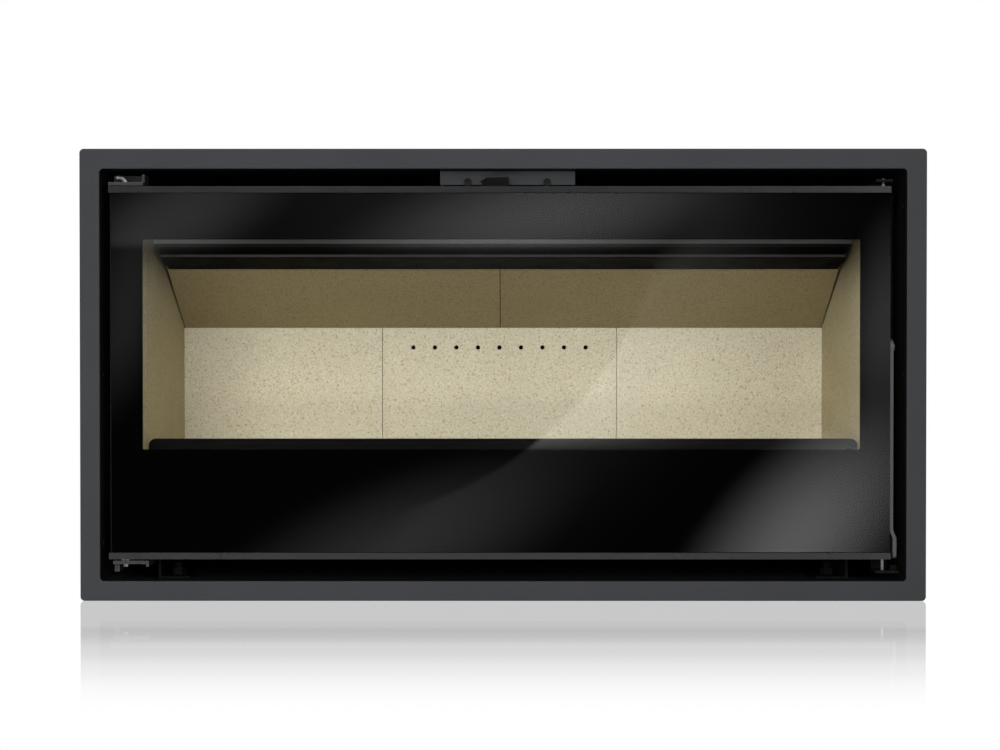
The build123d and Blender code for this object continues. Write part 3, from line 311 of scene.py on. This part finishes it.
def painted(name, colour, rough, wear_and_highlight=None, gloss=0.2, grain=900.0, depth=0.00003, edge=0.0012, black=None,
            painted_highlight=None):
    """Stove paint: mottling, a fine spray texture, lighter edges for scuffed paint and painted highlight, a
    painted highlight along a fold, and painted shade in black inside a box.
    """
    s = Shader(name)
    mottle = s.ramp(s.noise(6.0, 6.0), (0.3, 0.88), (0.7, 1.0))
    base = s.mix(1.0, colour, mottle, "MULTIPLY")
    # Lighter edges: scuffed paint, and painted highlight where edges catch light.
    if wear_and_highlight:
        base = s.mix(s.edge_mask(edge, 0.9, 0.995), base, wear_and_highlight)
    # Painted highlight: a light band along a fold, by height.
    if painted_highlight:
        low, high, tone = painted_highlight
        highlight_tone = s.ramp(s.noise(30.0, 3.0, stretch=(0.2, 1, 1)), (0.3, tone * 0.7), (0.65, tone))
        base = s.mix(s.within((-BEYOND, -BEYOND, low), (BEYOND, BEYOND, high)), base, highlight_tone)
    # Painted shade: black inside the box.
    if black:
        base = s.mix(s.within(*black), base, SHADE_BLACK)
    s.link(base, s.bsdf.inputs["Base Color"])
    s.link(s.ramp(s.noise(35.0, 5.0), (0.3, rough * 0.88), (0.75, min(1.0, rough * 1.12))),
           s.bsdf.inputs["Roughness"])
    s.bump(s.noise(grain, 3.0), depth, 0.5)
    s.set(Specular_IOR_Level=gloss)
    return s.material


def vermiculite(name, shade=(1.0, 1.0, 1.0), joint=(0.36, 0.32, 0.24), top_shade=None):
    """Pressed vermiculite: cream board with fine flakes and dark joints, painted shade that darkens it towards
    the top, and a painted shade for the whole board.
    """
    s = Shader(name)
    cloud = s.noise(7.0, 5.0)
    base = s.ramp(cloud, (0.25, (0.615, 0.580, 0.490)), (0.75, (0.685, 0.648, 0.555)))
    flakes = s.cells(560.0, output="Color")
    flake_tone = s.ramp(flakes, (0.05, (0.62, 0.54, 0.40)), (0.22, (0.90, 0.87, 0.78)),
                        (0.75, (1.0, 1.0, 0.99)), (0.95, (1.12, 1.10, 1.04)))
    base = s.mix(1.0, base, flake_tone, "MULTIPLY")
    specks = s.ramp(s.noise(1100.0, 2.0), (0.33, (0.60, 0.54, 0.44)), (0.43, (1.0, 1.0, 1.0)))
    base = s.mix(0.8, base, specks, "MULTIPLY")
    base = s.mix(s.edge_mask(0.0010, 0.88, 0.99), base, joint)
    # Painted shade: darker towards the top, where the baffle shades the bricks.
    if top_shade:
        drift = maths(s.tree, "MULTIPLY", maths(s.tree, "SUBTRACT", s.noise(9.0, 3.0), 0.5), TOP_SHADE_DRIFT)
        height = maths(s.tree, "ADD", s.axes()["Z"], drift)
        base = s.mix(1.0, base, s.ramp(height, *top_shade), "MULTIPLY")
    # Painted shade: a darker copy of the board for bricks that get less light.
    s.link(s.mix(1.0, base, shade, "MULTIPLY"), s.bsdf.inputs["Base Color"])
    s.set(Roughness=0.92, Specular_IOR_Level=0.15)
    first = s.bump(s.cells(420.0), 0.0004, 0.4)
    s.bump(s.noise(900.0, 2.0), 0.0003, 0.4, after=first)
    return s.material


def galvanised(name, black):
    """Zinc-coated sheet with its crystal spangle, and painted shade inside a box: black, matt and not
    metallic.
    """
    s = Shader(name)
    spangle = s.cells(75.0, output="Color")
    grey = s.add("ShaderNodeRGBToBW")
    s.link(spangle, grey.inputs["Color"])
    tone = s.ramp(grey.outputs["Val"], (0.1, (0.46, 0.48, 0.50)), (0.9, (0.66, 0.68, 0.69)))
    stain = s.ramp(s.noise(5.0, 6.0), (0.35, 0.84), (0.7, 1.0))
    # Painted shade: black, matt and not metallic inside the box.
    inner = s.within(*black)
    s.link(s.mix(inner, s.mix(1.0, tone, stain, "MULTIPLY"), SHADE_BLACK), s.bsdf.inputs["Base Color"])
    s.link(s.mix(inner, s.ramp(grey.outputs["Val"], (0.0, 0.34), (1.0, 0.52)), (0.8, 0.8, 0.8)),
           s.bsdf.inputs["Roughness"])
    s.link(maths(s.tree, "SUBTRACT", 0.9, maths(s.tree, "MULTIPLY", inner, 0.9)), s.bsdf.inputs["Metallic"])
    s.bump(s.noise(400.0, 3.0), 0.00002, 0.4)
    return s.material


def bare_metal(name, colour, rough, brush=(1, 1, 40)):
    """Drawn or machined metal with fine lines along it."""
    s = Shader(name)
    lines = s.noise(260.0, 4.0, stretch=brush)
    tone = s.mix(1.0, colour, s.ramp(lines, (0.3, 0.72), (0.7, 1.0)), "MULTIPLY")
    s.link(tone, s.bsdf.inputs["Base Color"])
    s.link(s.ramp(lines, (0.3, rough * 0.75), (0.7, min(1.0, rough * 1.25))), s.bsdf.inputs["Roughness"])
    s.set(Metallic=1.0)
    s.bump(lines, 0.00002, 0.3)
    return s.material


def cast_iron(name):
    """Sand-cast iron, dark and pitted."""
    s = Shader(name)
    s.link(s.ramp(s.noise(30.0, 6.0), (0.3, (0.018, 0.018, 0.019)), (0.7, (0.045, 0.043, 0.041))),
           s.bsdf.inputs["Base Color"])
    s.set(Metallic=0.4, Roughness=0.62)
    s.bump(s.noise(420.0, 5.0, 0.7), 0.0003, 0.6)
    return s.material


def clear_glass(name):
    """Glass ceramic with a faint warm tint; it lets the lamps through to the chamber."""
    s = Shader(name)
    s.set(Base_Color=(0.93, 0.93, 0.90, 1), Roughness=0.0, IOR=1.5, Transmission_Weight=1.0)
    passing = s.add("ShaderNodeBsdfTransparent")
    passing.inputs["Color"].default_value = (0.92, 0.92, 0.90, 1)
    lamp_ray = s.add("ShaderNodeLightPath").outputs["Is Shadow Ray"]
    s.link(s.shaders(lamp_ray, s.bsdf.outputs[0], passing.outputs[0]), s.output.inputs["Surface"])
    return s.material


def fired_print(name):
    """Opaque black print on the back of the glass, with a hint of its fine dots."""
    s = Shader(name)
    s.link(s.ramp(s.noise(1400.0, 1.0), (0.4, 0.0008), (0.6, 0.0016)), s.bsdf.inputs["Base Color"])
    s.set(Roughness=0.9, Specular_IOR_Level=0.0)
    return s.material


def braided(name, colour, scale):
    """Woven glass fibre."""
    s = Shader(name)
    weave = s.cells(scale)
    tone = s.mix(1.0, colour, s.ramp(weave, (0.1, 1.0), (0.7, 0.35)), "MULTIPLY")
    s.link(tone, s.bsdf.inputs["Base Color"])
    s.set(Roughness=0.95, Specular_IOR_Level=0.1, Sheen_Weight=0.3)
    s.bump(weave, -0.0006, 0.8)
    return s.material


def dress(material, *names):
    """Gives CAD nodes a material."""
    for name in names:
        nodes[name].data.materials.clear()
        nodes[name].data.materials.append(material)


def bevel(width, segments, *names):
    """Eases the sharp edges of CAD nodes."""
    for name in names:
        modifier = nodes[name].modifiers.new("eased_edges", "BEVEL")
        modifier.width = width
        modifier.segments = segments
        modifier.limit_method = "ANGLE"
        modifier.angle_limit = math.radians(BEVEL_ANGLE)
        modifier.harden_normals = False


# Behind its face the surround gets painted shade in black; its lighter edges are scuffed paint and painted
# highlight.
dress(painted("anthracite_paint", (0.029, 0.030, 0.0325), 0.60, (0.039, 0.041, 0.045), 0.12,
              black=FACE_INSIDE), "surround_frame")
# One grey paint for both rails: the top rail's copy is darker as painted shade, the bottom rail's copy lighter
# as painted light.
dress(painted("top_rail_shaded_paint", (0.0085, 0.0085, 0.0085), 0.30, gloss=0.45), "top_glass_rail")
dress(painted("bottom_rail_lit_paint", (0.019, 0.019, 0.019), 0.30, gloss=0.45), "bottom_glass_rail")
dress(painted("lever_paint", (0.050, 0.050, 0.050), 0.40, gloss=0.4), "handle_lever")
dress(painted("bracket_paint", (0.036, 0.038, 0.041), 0.50), "control_bracket")
dress(painted("hinge_paint", (0.028, 0.028, 0.029), 0.45, (0.05, 0.05, 0.05)),
      "upper_hinge_bracket", "lower_hinge_bracket")
dress(painted("lever_black", (0.0015, 0.0015, 0.0015), 0.6, gloss=0.1), "air_lever")
dress(painted("screw_black", (0.004, 0.004, 0.0045), 0.4, (0.02, 0.02, 0.02)), "control_bracket_screws")
dress(painted("firebox_black", (0.004, 0.004, 0.0043), 0.65, (0.008, 0.008, 0.008), 0.06, 700.0, 0.00008),
      "firebox_floor", "firebox_left_wall", "firebox_right_wall", "firebox_back_wall", "secondary_air_duct",
      "firebox_top", "firebox_front_plate", "flue_collar", "ash_well", "upper_keeper", "lower_keeper",
      "log_retainer", "door_frame", "ash_pan", "support_rail_left", "support_rail_right", "air_shutter",
      "levelling_feet")
# The rail's and deflector's folds get a painted highlight.
dress(painted("rail_black", (0.0012, 0.0012, 0.0012), 0.70, gloss=0.03, painted_highlight=RAIL_HIGHLIGHT),
      "baffle_rail")
dress(painted("deflector_black", (0.0015, 0.0015, 0.0015), 0.60, gloss=0.08, painted_highlight=DEFLECTOR_HIGHLIGHT),
      "air_deflector")
dress(galvanised("galvanised_sheet", CASING_INSIDE), "casing_base", "casing_left_side", "casing_right_side",
      "casing_top", "casing_back", "air_inlet_spigot")
dress(bare_metal("zinc_plate", (0.60, 0.59, 0.55), 0.35), "surround_screws", "air_lever_pin")
dress(bare_metal("drawn_steel", (0.30, 0.30, 0.31), 0.42), "upper_hinge_pin", "lower_hinge_pin",
      "upper_bolt_rod", "lower_bolt_rod", "rod_guides")
dress(bare_metal("sintered_bronze", (0.50, 0.36, 0.20), 0.5), "hinge_bushes", "handle_bearing")
dress(cast_iron("cast_iron"), "ember_grate")
dress(vermiculite("vermiculite_pale"), "back_brick_left", "back_brick_centre", "back_brick_right")
# Shaded copies of the pale board: the baffle, side and hearth bricks get painted shade, the left side more
# than the right.
dress(vermiculite("vermiculite_baffle_shaded", (0.46, 0.41, 0.295), (0.06, 0.05, 0.04)),
      "baffle_brick_left", "baffle_brick_right")
# The side bricks get painted shade towards the top.
dress(vermiculite("vermiculite_left_shaded", (0.70, 0.645, 0.50), top_shade=TOP_SHADE), "side_brick_left")
dress(vermiculite("vermiculite_right_shaded", (0.80, 0.755, 0.61), top_shade=TOP_SHADE), "side_brick_right")
dress(vermiculite("vermiculite_hearth_shaded", (0.74, 0.69, 0.54)),
      "hearth_brick_left", "hearth_brick_right", "hearth_brick_front", "hearth_brick_rear")
dress(clear_glass("glass_ceramic"), "door_glass")
dress(fired_print("black_print"), "glass_print")
dress(braided("sealing_tape", (0.03, 0.03, 0.03), 1200.0), "glass_gasket")
dress(braided("sealing_rope", (0.075, 0.074, 0.070), 900.0), "rope_seal")
bevel(BRICK_BEVEL, 2, "back_brick_left", "back_brick_right", "side_brick_left", "side_brick_right",
      "baffle_brick_left", "baffle_brick_right", "hearth_brick_left", "hearth_brick_right",
      "hearth_brick_front", "hearth_brick_rear")


# Pieces with more detail than their solids


def piece(name, points, faces, material, slot, body, *stands_for):
    """A smooth mesh piece that rides on a body and stands for CAD nodes."""
    mesh = bpy.data.meshes.new(name)
    mesh.from_pydata(points, [], faces)
    mesh.shade_smooth()
    mesh.materials.append(material)
    made = bpy.data.objects.new(name, mesh)
    scene.collection.objects.link(made)
    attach(made, body)
    if stands_for:
        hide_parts(*stands_for)
    return made


def tube_faces(first, rings, sides, closed):
    """Faces of a tube whose rings follow each other in the list of points; an open tube gets end caps."""
    faces = []
    for i in range(rings if closed else rings - 1):
        here = first + i * sides
        there = first + (i + 1) % rings * sides
        for j in range(sides):
            k = (j + 1) % sides
            faces.append((here + j, here + k, there + k, there + j))
    if not closed:
        faces.append(tuple(range(first + sides - 1, first - 1, -1)))
        faces.append(tuple(range(first + (rings - 1) * sides, first + rings * sides)))
    return faces


def loop_at(distance, half_width, low, high, radius):
    """Place and outward direction, as (x, z, nx, nz), on a rounded rectangle centred on X = 0."""
    across = 2 * (half_width - radius)
    up = high - low - 2 * radius
    arc = math.pi * radius / 2
    corners = ((half_width - radius, low + radius, -90), (half_width - radius, high - radius, 0),
               (radius - half_width, high - radius, 90), (radius - half_width, low + radius, 180))
    for (x, z, turn), side in zip(corners, (across, up, across, up)):
        start = math.radians(turn)
        if distance <= side:
            back = side - distance
            nx, nz = math.cos(start), math.sin(start)
            return x + nx * radius + nz * back, z + nz * radius - nx * back, nx, nz
        distance -= side
        if distance <= arc:
            angle = start + distance / radius
            nx, nz = math.cos(angle), math.sin(angle)
            return x + nx * radius, z + nz * radius, nx, nz
        distance -= arc
    return loop_at(0.0, half_width, low, high, radius)


def rounded(angle, half_across, half_along, power):
    """A point of a rounded rectangle at some angle."""
    c, s = math.cos(angle), math.sin(angle)
    return (math.copysign(abs(c) ** power, c) * half_across, math.copysign(abs(s) ** power, s) * half_along)


def braided_rope(name, node, material, slot, body):
    """The door's sealing rope: flat strands both ways round, over and under each other, on a core."""
    low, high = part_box(node)
    middle = (low.y + high.y) / 2
    half_across = ROPE_WIDTH / 2
    half_along = (high.y - low.y) / 2
    path = (high.x - half_across, low.z + half_across, high.z - half_across, ROPE_CORNER)
    straight = 4 * (path[0] - ROPE_CORNER) + 2 * (path[2] - path[1] - 2 * ROPE_CORNER)
    length = straight + 2 * math.pi * ROPE_CORNER
    turns = round(length / ROPE_PITCH)
    steps = turns * ROPE_STRANDS * ROPE_STEPS
    inset = ROPE_STRAND_HALF_THICKNESS + ROPE_WAVE
    points, faces = [], []
    for way in (1, -1):
        for strand in range(ROPE_STRANDS):
            centres, outs = [], []
            for i in range(steps):
                turned = 2 * math.pi * turns * i / steps
                angle = way * turned + 2 * math.pi * strand / ROPE_STRANDS
                wave = way * ROPE_WAVE * math.cos(ROPE_STRANDS * turned)
                x, z, nx, nz = loop_at(length * i / steps, *path)
                u, v = rounded(angle, half_across - inset + wave, half_along - inset + wave,
                               ROPE_SQUARENESS)
                centres.append(Vector((x + nx * u, middle + v, z + nz * u)))
                outs.append(Vector((nx * math.cos(angle), math.sin(angle), nz * math.cos(angle))))
            first = len(points)
            for i in range(steps):
                along = centres[(i + 1) % steps] - centres[i - 1]
                side = along.cross(outs[i]).normalized()
                for j in range(ROPE_SIDES):
                    turn = 2 * math.pi * j / ROPE_SIDES
                    points.append(centres[i] + outs[i] * (ROPE_STRAND_HALF_THICKNESS * math.sin(turn))
                                  + side * (ROPE_STRAND_HALF_WIDTH * math.cos(turn)))
            faces += tube_faces(first, steps, ROPE_SIDES, True)
    first = len(points)
    rings = turns * ROPE_CORE_STEPS
    for i in range(rings):
        x, z, nx, nz = loop_at(length * i / rings, *path)
        for j in range(CORE_SIDES):
            u, v = rounded(2 * math.pi * j / CORE_SIDES, half_across - 2 * inset, half_along - 2 * inset,
                           ROPE_SQUARENESS)
            points.append(Vector((x + nx * u, middle + v, z + nz * u)))
    faces += tube_faces(first, rings, CORE_SIDES, True)
    return piece(name, points, faces, material, slot, body, node)


def woven_tape(name, node, material, slot, body):
    """Flat tape along the glass's top and bottom edges, ribbed across in a herringbone."""
    low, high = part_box(node)
    points, faces = [], []
    for z0, z1 in ((high.z - TAPE_WIDTH, high.z), (low.z, low.z + TAPE_WIDTH)):
        first = len(points)
        rings = int((high.x - low.x) / TAPE_STEP)
        for i in range(rings):
            x = low.x + (high.x - low.x) * i / (rings - 1)
            for j in range(CORE_SIDES):
                u, v = rounded(2 * math.pi * j / CORE_SIDES, (z1 - z0) / 2, (high.y - low.y) / 2,
                               TAPE_SQUARENESS)
                rib = 1 - TAPE_RIB * (0.5 + 0.5 * math.cos(2 * math.pi * (x + 0.5 * abs(u)) / TAPE_PITCH))
                points.append((x, (low.y + high.y) / 2 + v * rib, (z0 + z1) / 2 + u * (0.5 + rib / 2)))
        faces += tube_faces(first, rings, CORE_SIDES, False)
    return piece(name, points, faces, material, slot, body, node)


def cover_ring(name, around, roof, material, slot, body):
    """Loose sheet ring round the flue collar that closes the hole in the casing's roof."""
    low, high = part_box(around)
    x0, y0 = (low.x + high.x) / 2, (low.y + high.y) / 2
    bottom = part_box(roof)[1].z + RING_LIFT
    top = bottom + RING_SHEET
    bend = RING_SHEET / 4
    section = ((RING_INNER + bend, bottom), (RING_OUTER - bend, bottom), (RING_OUTER, bottom + bend),
               (RING_OUTER, top - bend), (RING_OUTER - bend, top), (RING_INNER + bend, top),
               (RING_INNER, top - bend), (RING_INNER, bottom + bend))
    points = []
    for i in range(RING_STEPS):
        turn = 2 * math.pi * i / RING_STEPS
        points += [(x0 + r * math.cos(turn), y0 + r * math.sin(turn), z) for r, z in reversed(section)]
    faces = tube_faces(0, RING_STEPS, len(section), True)
    return piece(name, points, faces, material, slot, body)


braided_rope("braided_rope", "rope_seal", braided("rope_fibre", (0.075, 0.074, 0.070), 900.0),
             "sealing_rope", "door")
woven_tape("woven_tape", "glass_gasket", braided("tape_fibre", (0.03, 0.03, 0.03), 1200.0),
           "sealing_tape", "door")
cover_ring("flue_cover_ring", "flue_collar", "casing_top", bpy.data.materials["galvanised_sheet"],
           "galvanised_sheet", "insert")


# Floor and surroundings


def white_floor():
    """A white floor that mirrors the foot of the insert and shows as white as the backdrop."""
    mesh = bpy.data.meshes.new("floor")
    corners = ((-1, -1), (1, -1), (1, 1), (-1, 1))
    mesh.from_pydata([(x * FLOOR_REACH, y * FLOOR_REACH, 0) for x, y in corners], [], [(0, 1, 2, 3)])
    floor = bpy.data.objects.new("floor", mesh)
    scene.collection.objects.link(floor)
    s = Shader("floor_white")
    s.set(Base_Color=(0.85, 0.85, 0.85, 1), Roughness=0.7, Specular_IOR_Level=0.1)
    path = s.add("ShaderNodeLightPath")
    white = s.add("ShaderNodeEmission")
    pale = s.shaders(path.outputs["Is Camera Ray"], s.bsdf.outputs[0], white.outputs[0])
    across, along, _ = s.axes()
    ahead = remap(s.tree, along, FRONT_Y, FRONT_Y - FLOOR_GLOSS_REACH, 0.0, 1.0, "LINEAR")
    in_front = maths(s.tree, "LESS_THAN", along, FRONT_Y)
    aside = remap(s.tree, maths(s.tree, "ABSOLUTE", across), *FLOOR_GLOSS_SIDES, 1.0, 0.0)
    under = maths(s.tree, "MULTIPLY", in_front, aside)
    mirror = s.add("ShaderNodeBsdfGlossy")
    mirror.inputs["Color"].default_value = (1, 1, 1, 1)
    mirror.inputs["Roughness"].default_value = 0.0
    gloss = maths(s.tree, "MULTIPLY", s.ramp(ahead, *FLOOR_GLOSS), under)
    glossy = s.shaders(gloss, pale, mirror.outputs[0])
    clear = s.add("ShaderNodeBsdfTransparent")
    unseen = s.shaders(path.outputs["Is Glossy Ray"], glossy, clear.outputs[0])
    s.link(unseen, s.output.inputs["Surface"])
    mesh.materials.append(s.material)


def glow_in(tree, across, down, x, y, length, width, angle, strength):
    """A soft oval patch in the mirrored room's pattern, and none of it where the clear window starts."""
    turn = math.radians(angle)
    dx = maths(tree, "SUBTRACT", across, x)
    dy = maths(tree, "SUBTRACT", down, y)
    along = weighed(tree, dx, dy, math.cos(turn) / length, math.sin(turn) / length)
    beside = weighed(tree, dx, dy, -math.sin(turn) / width, math.cos(turn) / width)
    glow = remap(tree, length_of(tree, along, beside), 1.0, 0.0, 0.0, strength)
    if y < GLASS_HEAD_FADE[0]:
        glow = maths(tree, "MULTIPLY", glow, remap(tree, down, *GLASS_HEAD_FADE))
    return glow


def arc_in(tree, across, down):
    """The bright arc across the window: a sharp rim, then a tail that fades outwards."""
    dx = maths(tree, "SUBTRACT", across, ARC_CENTRE[0])
    dy = maths(tree, "SUBTRACT", down, ARC_CENTRE[1])
    reach = length_of(tree, dx, dy)
    arc = remap(tree, reach, ARC_RADIUS - ARC_SOFTNESS, ARC_RADIUS + ARC_SOFTNESS, 0.0, 1.0)
    tail = remap(tree, reach, ARC_RADIUS + ARC_TAIL, ARC_RADIUS, 0.0, 1.0, "LINEAR")
    start = remap(tree, maths(tree, "ADD", dx, dy), *ARC_START, 0.0, 1.0)
    for factor in (tail, tail, start, *(remap(tree, down, *fade) for fade in ARC_FADES)):
        arc = maths(tree, "MULTIPLY", arc, factor)
    return arc


def studio_world():
    """White behind the insert; in front of it a dark room with soft panels that the glass mirrors."""
    world = bpy.data.worlds.new("studio")
    world.use_nodes = True
    scene.world = world
    tree = world.node_tree
    background = tree.nodes["Background"]
    path = tree.nodes.new("ShaderNodeLightPath")
    direction = tree.nodes.new("ShaderNodeTexCoord")
    parts = tree.nodes.new("ShaderNodeSeparateXYZ")
    tree.links.new(direction.outputs["Generated"], parts.inputs[0])
    ahead = maths(tree, "MAXIMUM", maths(tree, "MULTIPLY", parts.outputs["Y"], -1.0), LEAST_AHEAD)
    sideways = maths(tree, "DIVIDE", parts.outputs["X"], ahead)
    upward = maths(tree, "DIVIDE", parts.outputs["Z"], ahead)
    across = maths(tree, "ADD", maths(tree, "MULTIPLY", sideways, FOCAL_PIXELS), FRAME_CENTRE_PIXEL_X)
    down = maths(tree, "SUBTRACT", HORIZON_PIXEL_Y, maths(tree, "MULTIPLY", upward, FOCAL_PIXELS))
    room = remap(tree, length_of(tree, sideways, upward), *DARK_ROOM, 0.0, 1.0)
    for glow in GLASS_GLOWS:
        room = maths(tree, "ADD", room, glow_in(tree, across, down, *glow))
    room = maths(tree, "ADD", room, arc_in(tree, across, down))
    strength = AMBIENT
    for ray, shown in (("Is Glossy Ray", room), ("Is Camera Ray", 1.0)):
        mixed = tree.nodes.new("ShaderNodeMix")
        for value, place in zip((path.outputs[ray], strength, shown), MIX_NUMBER):
            if isinstance(value, bpy.types.NodeSocket):
                tree.links.new(value, mixed.inputs[place])
            else:
                mixed.inputs[place].default_value = value
        strength = mixed.outputs[MIX_NUMBER[-1]]
    tree.links.new(strength, background.inputs["Strength"])
    background.inputs["Color"].default_value = (1, 1, 1, 1)


def softbox(name, place, aim, size, power, mirrored):
    """A rectangular lamp aimed at a point."""
    data = bpy.data.lights.new(name, "AREA")
    data.shape = "RECTANGLE"
    data.size, data.size_y = size
    data.energy = power
    lamp = bpy.data.objects.new(name, data)
    lamp.location = place
    lamp.visible_camera = False
    lamp.visible_glossy = mirrored
    lamp.visible_transmission = mirrored
    lamp.rotation_euler = (Vector(aim) - Vector(place)).to_track_quat("-Z", "Y").to_euler()
    scene.collection.objects.link(lamp)


def camera():
    """The photograph's viewpoint: straight in front, a little above the middle of the face."""
    data = bpy.data.cameras.new("camera")
    data.sensor_width = SENSOR_WIDTH
    data.lens = FOCAL_PIXELS / IMAGE_WIDTH * SENSOR_WIDTH
    data.clip_start = 0.05
    data.clip_end = 100.0
    view = bpy.data.objects.new("camera", data)
    view.location = (0.0, FRONT_Y - CAMERA_DISTANCE, CAMERA_HEIGHT)
    drop = math.atan2(CAMERA_HEIGHT - FACE_CENTRE_Z, CAMERA_DISTANCE)
    pitch = drop - math.atan2(FRAME_CENTRE_PIXEL_Y - IMAGE_CENTRE_Y, FOCAL_PIXELS)
    yaw = math.atan2(FRAME_CENTRE_PIXEL_X - IMAGE_CENTRE_X, FOCAL_PIXELS)
    view.rotation_euler = (math.pi / 2 - pitch, 0.0, yaw)
    scene.collection.objects.link(view)
    scene.camera = view


white_floor()
studio_world()
for lamp in LAMPS:
    softbox(*lamp)
camera()
scene.view_settings.view_transform = "Standard"
